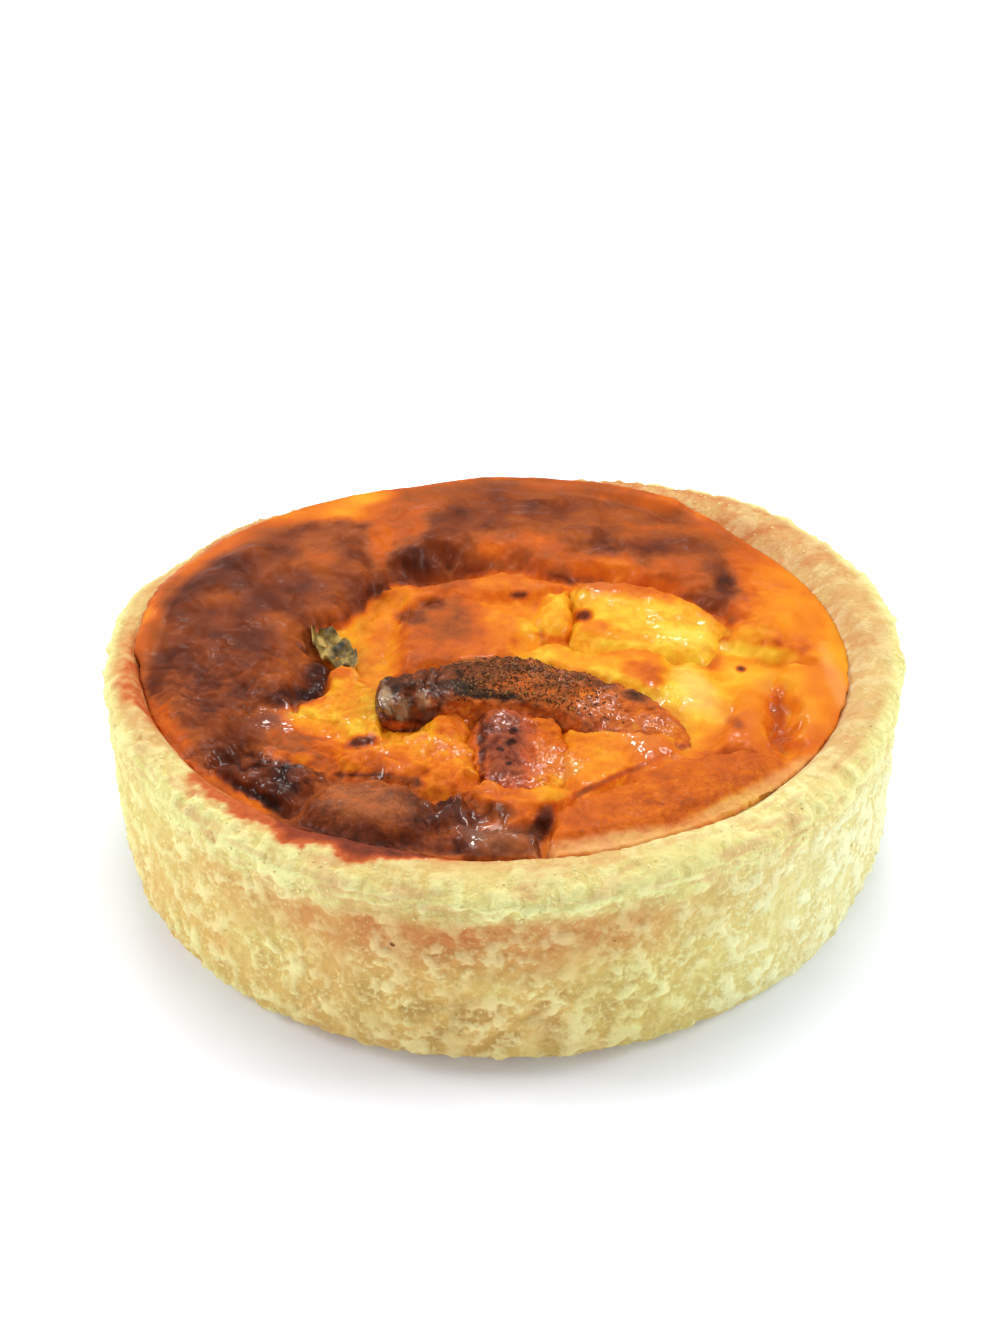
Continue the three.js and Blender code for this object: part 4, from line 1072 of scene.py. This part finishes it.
grains = skin.add("ShaderNodeTexVoronoi", {"Vector": stirred, "Scale": skin_in["Grain Scale"]}).outputs[0]
wrinkled = skin.named("wrinkled")
wrinkle_rise = skin.times(skin.minus(ridge, HALF), skin_in["Wrinkle Height"], wrinkled)
grain_rise = skin.times(skin.minus(HALF, grains), skin_in["Grain Height"], skin.named("grainy"))
# Painted shade: the browning is raised inside the creases.
crease = skin.times(skin.spread(ridge, low=0.0, high=0.35, start=1.0, end=0.0), wrinkled)
darker = skin.plus(skin.named("browning"), skin.times(crease, skin_in["Crease Browning"]))
moved = skin.raised(skin_in["Geometry"], skin.plus(wrinkle_rise, grain_rise))
skin.feed(skin_out, {0: skin.dressed(skin.marked(moved, "browning", darker), skin_in["Material"])})

# Baked colours shared by the custard and what is in it: pale yellow where it is torn open, through gold,
# orange and brown to black where it caught, mottled by fat and bubbles, and wet with fat in patches. A milky
# tint is partly the custard's own pale edge and partly painted sheen.
BAKED_SHADES = [
    (0.0, colour(252, 222, 96)), (0.1, colour(246, 202, 56)), (0.22, colour(236, 160, 28)),
    (0.34, colour(230, 130, 20)), (0.46, colour(214, 104, 18)), (0.56, colour(192, 88, 22)),
    (0.65, colour(162, 80, 28)), (0.73, colour(132, 60, 22)), (0.81, colour(100, 43, 18)),
    (0.90, colour(66, 27, 13)), (1.0, colour(30, 14, 9)),
]
RED_MEAT = colour(116, 58, 48)
MILKY = colour(240, 200, 150)
SPECK_SHARE = 0.5
SPECK_HEIGHT = 0.35
MOTTLE_HEIGHT = 4.0
LEAST_ROUGH = 0.3
BLOTCH_ROUGH = 0.35
baked, baked_in, baked_out = new_group(
    "Baked tone", "ShaderNodeTree",
    {"Browning": FLOAT, "Mottle": FLOAT, "Redness": FLOAT, "Milk": FLOAT, "Fat": FLOAT},
    {"Color": "NodeSocketColor", "Height": FLOAT, "Roughness": FLOAT, "Wetness": FLOAT},
)
spot = baked.place()
blotch = baked.clouds(spot, scale=420.0, detail=5.0, roughness=0.6)
speck = baked.clouds(spot, scale=1500.0, detail=3.0)
pool = baked.clouds(spot, scale=160.0, detail=3.0)
mottled = baked.times(baked.minus(blotch, HALF), baked_in["Mottle"])
speckled = baked.times(baked.minus(speck, HALF), baked_in["Mottle"], SPECK_SHARE)
tone = baked.plus(baked.plus(baked_in["Browning"], mottled), speckled, clamp=True)
redder = baked.tint(baked_in["Redness"], baked.ramp(tone, BAKED_SHADES), RED_MEAT, "COLOR")
rough = baked.plus(blotch, baked.times(speck, SPECK_HEIGHT))
baked.feed(baked_out, {
    # Partly painted sheen: the milky tint.
    "Color": baked.tint(baked_in["Milk"], redder, MILKY),
    "Height": baked.times(rough, baked_in["Mottle"], MOTTLE_HEIGHT),
    "Roughness": baked.plus(LEAST_ROUGH, baked.times(blotch, BLOTCH_ROUGH)),
    "Wetness": baked.times(baked.spread(pool, low=0.48, high=0.58), baked_in["Fat"]),
})
BAKED_READINGS = {
    "Browning": "browning", "Mottle": "mottle", "Redness": "purple", "Milk": "milk", "Fat": "wet",
}


def bake(piece, name, bump_depth, subsurface, wrinkle, wrinkle_size, grain, grain_size, crease_browning):
    """A moist baked surface for a piece: wrinkles and grains, in millimetres, and its browned material."""
    material, nodes, shader = new_material(name)
    readings = {label: nodes.reading(stored) for label, stored in BAKED_READINGS.items()}
    tone = nodes.add("ShaderNodeGroup", readings, node_tree=baked.tree).outputs
    nodes.feed(shader, {
        "Base Color": tone["Color"], "Roughness": tone["Roughness"], "Coat Weight": tone["Wetness"],
        "Normal": nodes.bump(tone["Height"], bump_depth * MM), "Specular IOR Level": 0.11,
        "Coat Roughness": 0.08, "Coat IOR": 1.75, "Subsurface Weight": subsurface,
        "Subsurface Radius": (1.0, 0.5, 0.15), "Subsurface Scale": 2 * MM,
    })
    shape_by(skin, piece, {
        "Wrinkle Height": wrinkle * MM, "Wrinkle Scale": 1 / (wrinkle_size * MM), "Grain Height": grain * MM,
        "Grain Scale": 1 / (grain_size * MM), "Crease Browning": crease_browning, "Material": material,
    })


bake(custard, "baked custard", bump_depth=0.7, subsurface=0.25, wrinkle=0.6, wrinkle_size=4.0, grain=0.3,
     grain_size=1.1, crease_browning=0.08)
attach(custard, "root")
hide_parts("custard_filling")

# Charred strip: a strip laid across the middle that arched up as it roasted. Its roof slopes to the front
# and caught in the oven, its left end is a dark glossy cut, and its right end sinks into the custard.
STRIP_X = [-17, -12, -6, 1, 8, 15, 20.5, 25]
STRIP_CREST_Y = [-11.6, -11.0, -9.4, -8.6, -9.8, -12.2, -14.8, -17.6]
STRIP_CREST_Z = [31.2, 32.0, 32.7, 32.8, 31.9, 30.7, 29.5, 26.6]
STRIP_EDGE_Y = [-15.4, -16.2, -16.2, -15.8, -16.8, -18.4, -20.2, -21.6]
STRIP_EDGE_Z = [30.6, 31.2, 31.4, 31.3, 30.4, 29.3, 28.2, 26.6]
STRIP_FOOT_Y = [-15.6, -16.4, -16.8, -17.0, -19.2, -21.2, -22.6, -23.0]
STRIP_FOOT_Z = 25.4
STRIP_BACK_DEPTH = 2.4
STRIP_BACK_DROP = 1.6
STRIP_STATIONS = 260
STRIP_SIDES = 150
STRIP_ROUNDING = 13
STRIP_CUT_LENGTH = 1.0
STRIP_CUT_POWER = 3
STRIP_CUT_LEAST = 0.04
STRIP_CUT_EASE = 0.4
STRIP_TIP_LENGTH = 3.0
STRIP_TIP_END = 0.99
STRIP_ROUGH = [(0.5, 4.5, 11, 3), (0.25, 1.4, 12, 3)]
PLEAT_HEIGHT = 0.26
PLEAT_PITCH = 3.0
PLEAT_WANDER = [(5.0, 3.0, 13, 2)]
PLEATED_LEFT = (6, 9)
STRIP_SPOTS = [
    (-2.4, -14, 5.6, 2.6, 0, 0.46, 1), (-13, -11, 5, 9, 0, 0.82, 1), (-14.5, -12, 2, 5, 10, 0.86, 0.9),
    (-10, -9, 2.5, 6, 0, 0.73, 0.8), (-3, -4.5, 8, 3, 5, 0.74, 1), (4, -5, 6, 4, -8, 0.63, 1),
    # The black spots along the roof's front edge, from -5.4 to 0.3, are partly char and partly painted shadow
    # under the roof's undercut edge.
    (4, -6.5, 4, 2.4, -8, 0.52, 0.8), (-5.4, -8.4, 2, 1.5, 0, 0.99, 1), (-3, -9.4, 2.6, 1.1, -10, 1, 1),
    (0.3, -10.2, 1.8, 0.8, 0, 0.97, 0.9), (-8, -7.6, 1.6, 1, 20, 0.92, 0.8),
    (2, -3.4, 3, 0.7, -4, 0.82, 0.8), (11, -8, 5, 3, -25, 0.64, 0.9), (14, -13, 7, 5, -28, 0.47, 1),
    (-14, -17, 2.4, 1, -10, 0.56, 0.9), (17.4, -10.4, 2, 1.2, -25, 0.8, 0.8),
    (10, -14, 3, 3, 0, 0.48, 0.8), (12, -7, 3, 0.8, -25, 0.76, 0.8), (21, -17.5, 6, 5, -20, 0.41, 1),
]
STRIP_BROWNING = 0.6
STRIP_PATCHES = [(0.1, 1.2, 14, 3)]
STRIP_WET_SPOTS = [(-14, -13, 5, 6, 0, 1.0, 1), (14, -14, 9, 6, -30, 0.6, 1), (-3, -9, 5, 2, 0, 0.6, 1)]
STRIP_WET = 0.15
# Painted highlights: pale streaks on the dark cut end, standing in for glossy wrinkles catching the light,
# over a faint painted sheen on the whole strip.
STRIP_MILK_SPOTS = [
    (-15.6, -11, 0.8, 3.4, 8, 0.5, 1), (-13.4, -13.6, 0.8, 2.8, 0, 0.44, 1),
    (-10.8, -11.4, 0.8, 1.8, 0, 0.3, 1),
]
STRIP_MILK = 0.03
STRIP_GRAINY_FROM = (-12, -8)
STRIP_GRAINY_TO = (-14, -4)
STRIP_GRAINY_LEAST = 0.3


def knotted(where, knots, values):
    """A smooth curve through values at knots."""
    slope = np.gradient(values, knots)
    leg = np.clip(np.searchsorted(knots, where) - 1, 0, len(knots) - 2)
    knots, values = np.asarray(knots, dtype=float), np.asarray(values, dtype=float)
    span = knots[leg + 1] - knots[leg]
    t = (where - knots[leg]) / span
    start = (2 * t**3 - 3 * t**2 + 1) * values[leg] + (t**3 - 2 * t**2 + t) * span * slope[leg]
    return start + (3 * t**2 - 2 * t**3) * values[leg + 1] + (t**3 - t**2) * span * slope[leg + 1]


def rounded_loop(corners, count, rounding):
    """Evenly spaced points round a closed outline, its corners rounded by averaging neighbours."""
    closed = np.vstack([corners, corners[:1]])
    length = run_along(closed)
    where = np.linspace(0, length[-1], count, endpoint=False)
    loop = np.stack([np.interp(where, length, closed[:, k]) for k in range(2)], axis=-1)
    return sum(np.roll(loop, step, axis=0) for step in range(-(rounding // 2), rounding // 2 + 1)) / rounding


def browned(points, spots, ground, patches):
    return np.clip(spotted(points, spots, ground) + unevenness(points, patches), 0, 1)


station = 0.5 - 0.5 * np.cos(np.linspace(0, math.pi, STRIP_STATIONS + 2)[1:-1])
along = mixed(STRIP_X[0], STRIP_X[-1], station)
crest_y, crest_z, edge_y, edge_z, foot_y = (
    knotted(along, STRIP_X, values)
    for values in (STRIP_CREST_Y, STRIP_CREST_Z, STRIP_EDGE_Y, STRIP_EDGE_Z, STRIP_FOOT_Y)
)
into_cut = np.clip((STRIP_X[0] + STRIP_CUT_LENGTH - along) / STRIP_CUT_LENGTH, 0, 1)
into_tip = np.clip((along - STRIP_X[-1] + STRIP_TIP_LENGTH) / STRIP_TIP_LENGTH, 0, STRIP_TIP_END)
fullness = np.maximum(1 - into_cut**STRIP_CUT_POWER, STRIP_CUT_LEAST) ** STRIP_CUT_EASE
fullness = fullness * np.sqrt(1 - into_tip**2)
strip_loops = []
strip_outward = []
for i in range(STRIP_STATIONS):
    back = crest_y[i] + STRIP_BACK_DEPTH
    corners = [(back, STRIP_FOOT_Z), (back, crest_z[i] - STRIP_BACK_DROP), (crest_y[i], crest_z[i]),
               (edge_y[i], edge_z[i]), (foot_y[i], STRIP_FOOT_Z)]
    loop = rounded_loop(corners, STRIP_SIDES, STRIP_ROUNDING)
    from_middle = (loop - loop.mean(axis=0)) * fullness[i]
    loop = loop.mean(axis=0) + from_middle
    strip_loops.append(points_at(along[i], loop[:, 0], loop[:, 1]))
    strip_outward.append(from_middle / np.linalg.norm(from_middle, axis=1, keepdims=True))
smooth_strip = np.vstack(strip_loops)
strip_x = smooth_strip[:, 0]
pleats = PLEAT_HEIGHT * np.sin(strip_x * PLEAT_PITCH + unevenness(smooth_strip, PLEAT_WANDER))
strip_rise = unevenness(smooth_strip, STRIP_ROUGH) + pleats * smooth(-strip_x, *PLEATED_LEFT)
strip_points = smooth_strip.copy()
strip_points[:, 1:] += np.vstack(strip_outward) * strip_rise[:, None]
first_loop = list(range(STRIP_SIDES))
last_loop = [(STRIP_STATIONS - 1) * STRIP_SIDES + side for side in first_loop]
strip_faces = [face[::-1] for face in ring_faces(STRIP_STATIONS, STRIP_SIDES)]
strip = add_piece("strip", strip_points, strip_faces + [first_loop, last_loop[::-1]])
grainy_roof = smooth(strip_x, *STRIP_GRAINY_FROM) * smooth(-strip_x, *STRIP_GRAINY_TO)
set_values(
    strip, browning=browned(strip_points, STRIP_SPOTS, STRIP_BROWNING, STRIP_PATCHES),
    wet=spotted(strip_points, STRIP_WET_SPOTS, STRIP_WET),
    milk=spotted(strip_points, STRIP_MILK_SPOTS, STRIP_MILK),
    wrinkled=1.0, mottle=0.4, grainy=mixed(STRIP_GRAINY_LEAST, 1.0, grainy_roof),
)
bake(strip, "charred strip", bump_depth=0.9, subsurface=0.0, wrinkle=0.7, wrinkle_size=3.6, grain=0.4,
     grain_size=0.6, crease_browning=0.1)
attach(strip, "root")
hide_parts("charred_strip")

# Grains on the strip's roof: crumbs of its browned coating, from black to gold, thickest over its middle.
# They are strewn as the crumbs on the dough are, and finer.
ROOF_FROM = (-8, -3)
ROOF_TO = (-17, -8)
ROOF_EDGE = (-0.6, 0.2)
ROOF_SHADES = [
    (0.0, colour(46, 27, 14)), (0.4, colour(92, 54, 26)), (0.8, colour(140, 92, 42)),
    (1.0, colour(190, 142, 70)),
]
above_edge = strip_points[:, 2] - knotted(strip_x, STRIP_X, STRIP_EDGE_Z)
roof_span = smooth(strip_x, *ROOF_FROM) * smooth(-strip_x, *ROOF_TO)
set_values(strip, scatter=roof_span * smooth(above_edge, *ROOF_EDGE))
roof_grains = strew("roof_grains", strip, density=9.0, size=0.14, seed=62, shades=ROOF_SHADES)
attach(roof_grains, "root")

# Browned meat: a lump pressed against the strip's front and sunk in the custard, purple-brown on its left
# and orange on its right, where it slopes down.
MEAT = (
    [(-3.2, -15), (-1, -12.5), (4, -11.8), (8, -13.5), (9.5, -19), (9.5, -26), (7, -30.5), (3, -32),
     (-0.5, -31), (-2.8, -27), (-3.6, -21)],
    28.8, (-0.2, 0.05), 2.6, 1.0,
)
MEAT_SWELLS = [
    (0.5, -24, 2.6, 5, 10, 1.0), (4, -16.5, 4, 2, -10, 0.8), (-1, -33, 2, 3, 0, 0.5),
    (3.6, -24, 0.7, 6, 0, -0.7), (7, -22, 2, 5, 0, 0.5),
]
MEAT_CELLS = 150
MEAT_SEED = 21
MEAT_FOLDS = 0.4
MEAT_SPOTS = [
    (-0.2, -20, 3.4, 9.5, 3, 0.7, 1), (0.2, -27, 2.8, 4, 0, 0.66, 0.8), (3.5, -24, 1.5, 6, 0, 0.56, 0.7),
    (6.5, -18, 3, 5, 0, 0.45, 0.8), (5.5, -25, 2.4, 4, 0, 0.37, 0.8), (6, -32, 4, 3.4, -20, 0.25, 0.9),
    (4, -13.2, 4, 1.6, -6, 0.5, 0.9), (4.6, -12.6, 1.4, 1, -20, 0.9, 0.9),
    (1.1, -18, 0.6, 0.7, 0, 0.95, 0.9), (0.9, -20.8, 0.6, 0.8, 0, 0.93, 0.9),
    (-0.6, -22.6, 0.5, 0.5, 0, 0.92, 0.9), (0.5, -25.6, 0.5, 0.6, 0, 0.9, 0.8),
    (-3, -20, 0.6, 9, 0, 0.84, 0.8), (1, -31, 3, 2, 0, 0.56, 0.8), (-1.8, -33, 1.2, 1.2, 0, 0.84, 0.8),
]
MEAT_BROWNING = 0.4
MEAT_PATCHES = [(0.07, 1.5, 24, 3)]
PURPLE_SPOTS = [(0, -21, 3.6, 10, 3, 0.42, 1)]
SUNK_MARGIN = 1.6
SUNK_DEPTH = 3.0
SUNK_LIP = 0.5
SUNK_BEND = (0.8, 5.0, 3)
SUNK_BUMPS = (0.3, 3.2, 4)
SUNK_FOLDS = (1.0, 2.2, 3)
SUNK_FOLD_LEVEL = 0.3
OUTLINE_STEPS = 20


def outline_reach(outline, middle, angle):
    """Distance from the middle to an outline in each direction."""
    corners = np.array(outline + outline[:1])
    steps = np.linspace(0, 1, OUTLINE_STEPS, endpoint=False)[:, None]
    edge = np.concatenate([mixed(a, b, steps) for a, b in zip(corners[:-1], corners[1:])]) - middle
    around = np.arctan2(edge[:, 1], edge[:, 0])
    order = np.argsort(around)
    return np.interp(angle, around[order], np.hypot(*edge[order].T), period=2 * math.pi)


def sunk_piece(name, plate, rises, cells, seed, folds):
    """A closed piece under a plate's outline that stands out of the custard, and its points."""
    outline, height = lowered(plate[0], plate[1]), plate[1]
    middle = np.mean(outline, axis=0)
    disc_x, disc_y, faces, border = disc_grid(cells)
    angle = np.arctan2(disc_y, disc_x)
    reach = np.hypot(disc_x, disc_y) * (outline_reach(outline, middle, angle) + SUNK_MARGIN)
    x, y = middle[0] + reach * np.cos(angle), middle[1] + reach * np.sin(angle)
    flat = points_at(x, y)
    bend_x, bend_y, bumps, creases = (
        unevenness(flat, [(height, size, seed + step, octaves)])
        for step, (height, size, octaves) in enumerate((SUNK_BEND, SUNK_BEND, SUNK_BUMPS, SUNK_FOLDS))
    )
    bent_x, bent_y = x + bend_x, y + bend_y
    top = plate_top(plate, x, y, bent_x, bent_y)[0] + swells(rises, bent_x, bent_y)
    top = top + bumps + folds * (np.abs(creases) - SUNK_FOLD_LEVEL)
    below_z = np.minimum(height - SUNK_DEPTH - SUNK_MARGIN, top[border] - SUNK_LIP)
    below = points_at(x[border], y[border], below_z)
    points, faces = closed_below(points_at(x, y, top), faces, border, [below])
    return add_piece(name, points, faces), points


meat, meat_points = sunk_piece("meat", MEAT, MEAT_SWELLS, MEAT_CELLS, MEAT_SEED, MEAT_FOLDS)
set_values(
    meat, browning=browned(meat_points, MEAT_SPOTS, MEAT_BROWNING, MEAT_PATCHES),
    purple=spotted(meat_points, PURPLE_SPOTS, 0), wet=0.8, wrinkled=1.0, mottle=0.3, grainy=1.0,
)
bake(meat, "browned meat", bump_depth=0.8, subsurface=0.05, wrinkle=0.7, wrinkle_size=4.0, grain=0.1,
     grain_size=0.8, crease_browning=0.08)
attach(meat, "root")
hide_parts("browned_meat")

# Golden chunk: a smooth bright yellow lump sunk in the custard at the back right, its back edge browned.
# It is made as the meat is, with few folds.
CHUNK = (
    [(9.5, 8), (9.8, 20.5), (14, 21.5), (22, 20), (28, 15.5), (31, 11.5), (29.5, 5), (27, 1.5), (20, 2.5),
     (13, 4.5)],
    29.7, (-0.01, 0.13), 2.6, 1.6,
)
CHUNK_SWELLS = [(17, 14, 7, 1.6, -14, 0.5), (24, 3, 4, 3, -20, 0.4), (11.5, 8.5, 1.2, 2, 0, -0.9)]
CHUNK_CELLS = 110
CHUNK_SEED = 31
CHUNK_FOLDS = 0.08
CHUNK_SPOTS = [
    (17, 20, 12, 3, -14, 0.46, 0.9), (30, 12, 2, 4, 30, 0.36, 0.8), (25, 6, 5, 3, -20, 0.06, 0.9),
    (11, 11.5, 1.2, 1.8, -10, 0.88, 0.9), (12.5, 8.5, 2, 1.6, 0, 0.4, 0.8),
    (16, 6, 4, 1.5, -10, 0.3, 0.7),
]
CHUNK_BROWNING = 0.15
CHUNK_PATCHES = [(0.05, 3.0, 35, 3)]
chunk, chunk_points = sunk_piece("chunk", CHUNK, CHUNK_SWELLS, CHUNK_CELLS, CHUNK_SEED, CHUNK_FOLDS)
set_values(
    chunk, browning=browned(chunk_points, CHUNK_SPOTS, CHUNK_BROWNING, CHUNK_PATCHES),
    wet=0.4, wrinkled=0.4, mottle=0.16, grainy=0.3,
)
bake(chunk, "golden chunk", bump_depth=0.4, subsurface=0.25, wrinkle=0.4, wrinkle_size=5.0, grain=0.1,
     grain_size=1.1, crease_browning=0.1)
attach(chunk, "root")
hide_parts("golden_chunk")

# Herb leaf: a small leaf that dried in the oven, thin and wavy, lying in the torn valley on the left.
# It follows the custard under it, with a middle vein pressed in and side veins raised.
LEAF_AT = (-23.7, 2.4)
LEAF_LENGTH = 12.0
LEAF_WIDTH = 5.0
LEAF_TIP = 0.15
LEAF_FULLNESS = 0.7
LEAF_TURN = math.radians(118)
LEAF_THICKNESS = 0.5
LEAF_CURL = 1.1
LEAF_CURL_LEVEL = 0.3
LEAF_WAVES = 3.5
LEAF_WAVE_SHARE = 0.4
LEAF_LIFT = 0.5
VEIN_HEIGHT = 0.12
VEIN_COUNT = 9
VEIN_SLANT = 5
MIDDLE_VEIN_DEPTH = 0.25
MIDDLE_VEIN_WIDTH = 0.08
LEAF_ROWS = 70
LEAF_COLUMNS = 30
LEAF_SHADES = [(0.36, colour(46, 42, 12)), (0.5, colour(130, 102, 36)), (0.64, colour(206, 172, 84))]
across, along = np.meshgrid(np.linspace(-1, 1, LEAF_COLUMNS + 1), np.linspace(-1, 1, LEAF_ROWS + 1))
leaf_outline = mixed(np.cos(along * math.pi / 2) ** LEAF_FULLNESS, 1.0, LEAF_TIP)
u, v = along * LEAF_LENGTH / 2, across * leaf_outline * LEAF_WIDTH / 2
leaf_x = LEAF_AT[0] + u * math.cos(LEAF_TURN) - v * math.sin(LEAF_TURN)
leaf_y = LEAF_AT[1] + u * math.sin(LEAF_TURN) + v * math.cos(LEAF_TURN)
wave = LEAF_CURL * (across**2 - LEAF_CURL_LEVEL + LEAF_WAVE_SHARE * np.sin(LEAF_WAVES * along * math.pi))
veins = VEIN_HEIGHT * np.abs(np.sin(VEIN_COUNT * along + VEIN_SLANT * np.abs(across)))
veins = veins - MIDDLE_VEIN_DEPTH * bell(across, 0, MIDDLE_VEIN_WIDTH)
leaf_z = custard_surface(leaf_x, leaf_y)[0] + LEAF_LIFT + wave + veins
upper = points_at(leaf_x, leaf_y, leaf_z + LEAF_THICKNESS / 2).reshape(-1, 3)
lower = points_at(leaf_x, leaf_y, leaf_z - LEAF_THICKNESS / 2).reshape(-1, 3)
corner = np.arange(len(upper)).reshape(leaf_x.shape)
quads = np.stack([corner[:-1, :-1], corner[1:, :-1], corner[1:, 1:], corner[:-1, 1:]], axis=-1).reshape(-1, 4)
edge = np.concatenate([corner[:-1, 0], corner[-1, :-1], corner[:0:-1, -1], corner[0, :0:-1]])
after = np.roll(edge, -1)
under = len(upper)
rim_quads = np.stack([edge, under + edge, under + after, after], axis=-1)
leaf_faces = np.vstack([quads, under + quads[:, ::-1], rim_quads]).tolist()
leaf = add_piece("leaf", np.vstack([upper, lower]), leaf_faces)
leaf_material, nodes, shader = new_material("dried herb")
leaf_shade = nodes.ramp(nodes.clouds(nodes.place(), scale=500.0, detail=4.0), LEAF_SHADES)
nodes.feed(shader, {"Base Color": leaf_shade, "Roughness": 0.5})
leaf.data.materials.append(leaf_material)
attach(leaf, "root")
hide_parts("herb_leaf")

# Stage: a plain white surface, soft white light from above, behind, both sides and a window in front, and a
# camera that looks down on the front at about a third of a right angle. The surface glows more the farther
# it lies from the quiche, so that it stays white round a small soft shadow.
FLOOR_REACH = 3.0
FLOOR_CORNERS = [(-1, -1), (1, -1), (1, 1), (-1, 1)]
FLOOR_DARK = (0.85, 0.90, 0.99, 1)
FLOOR_LIGHT = (0.87, 0.92, 1.0, 1)
GLOW_NEAR = (0, 0, 0.03, 1)
GLOW_FAR = (1, 1, 1, 1)
ROOM_LIGHT = 0.32
QUICHE = (0, 0, 0.02)
LIGHTS = [
    ("top softbox", (0.0, 0.2, 0.8), QUICHE, 0.5, 1.95),
    ("left softbox", (-0.55, 0.03, 0.36), QUICHE, 0.22, 1.65),
    ("right softbox", (0.55, 0.03, 0.36), QUICHE, 0.26, 1.85),
    ("high glint", (0.05, 0.4, 0.66), QUICHE, 0.14, 1.2),
    ("low glint", (-0.2, 0.56, 0.42), QUICHE, 0.1, 0.35),
    ("front window", (-0.3, -0.75, 0.45), (0, -0.03, 0.02), 0.16, 0.75),
]
CAMERA_DISTANCE = 0.330
CAMERA_ELEVATION = math.radians(33.24)
CAMERA_AIM_HEIGHT = 0.015
CAMERA_PITCH = math.radians(31.52)
CAMERA_YAW = math.radians(0.147)
CAMERA_LENS = 63.2
CAMERA_SENSOR = 36
floor_mesh = bpy.data.meshes.new("floor")
floor_points = [(FLOOR_REACH * side, FLOOR_REACH * end, 0) for side, end in FLOOR_CORNERS]
floor_mesh.from_pydata(floor_points, [], [(0, 1, 2, 3)])
floor = bpy.data.objects.new("floor", floor_mesh)
bpy.context.collection.objects.link(floor)
floor_material, nodes, shader = new_material("white surface")
spot = nodes.place()
away = nodes.add("ShaderNodeVectorMath", {0: spot}, operation="LENGTH").outputs["Value"]
glow = nodes.spread(away, low=0.054, high=0.07, start=0.09, end=0.4)
nodes.feed(shader, {
    "Base Color": nodes.tint(nodes.clouds(spot, scale=30.0), FLOOR_DARK, FLOOR_LIGHT),
    "Roughness": 0.9, "Specular IOR Level": 0.0,
    "Emission Color": nodes.tint(glow, GLOW_NEAR, GLOW_FAR), "Emission Strength": 1.0,
})
floor_mesh.materials.append(floor_material)

world = bpy.data.worlds.new("studio")
world.use_nodes = True
room = world.node_tree.nodes["Background"].inputs
room["Color"].default_value = (1, 1, 1, 1)
room["Strength"].default_value = ROOM_LIGHT
bpy.context.scene.world = world
bpy.context.scene.view_settings.view_transform = "Standard"
for name, at, aim, size, power in LIGHTS:
    light = bpy.data.lights.new(name, "AREA")
    light.size = size
    light.energy = power
    lamp = bpy.data.objects.new(name, light)
    lamp.location = at
    lamp.rotation_euler = (Vector(aim) - Vector(at)).to_track_quat("-Z", "Y").to_euler()
    bpy.context.collection.objects.link(lamp)

camera_data = bpy.data.cameras.new("camera")
camera_data.lens = CAMERA_LENS
camera_data.sensor_width = CAMERA_SENSOR
camera = bpy.data.objects.new("camera", camera_data)
camera_rise = CAMERA_DISTANCE * math.sin(CAMERA_ELEVATION)
camera.location = (0, -CAMERA_DISTANCE * math.cos(CAMERA_ELEVATION), CAMERA_AIM_HEIGHT + camera_rise)
level = math.cos(CAMERA_PITCH)
ahead = Vector((-math.sin(CAMERA_YAW) * level, math.cos(CAMERA_YAW) * level, -math.sin(CAMERA_PITCH)))
camera.rotation_euler = ahead.to_track_quat("-Z", "Y").to_euler()
bpy.context.collection.objects.link(camera)
bpy.context.scene.camera = camera
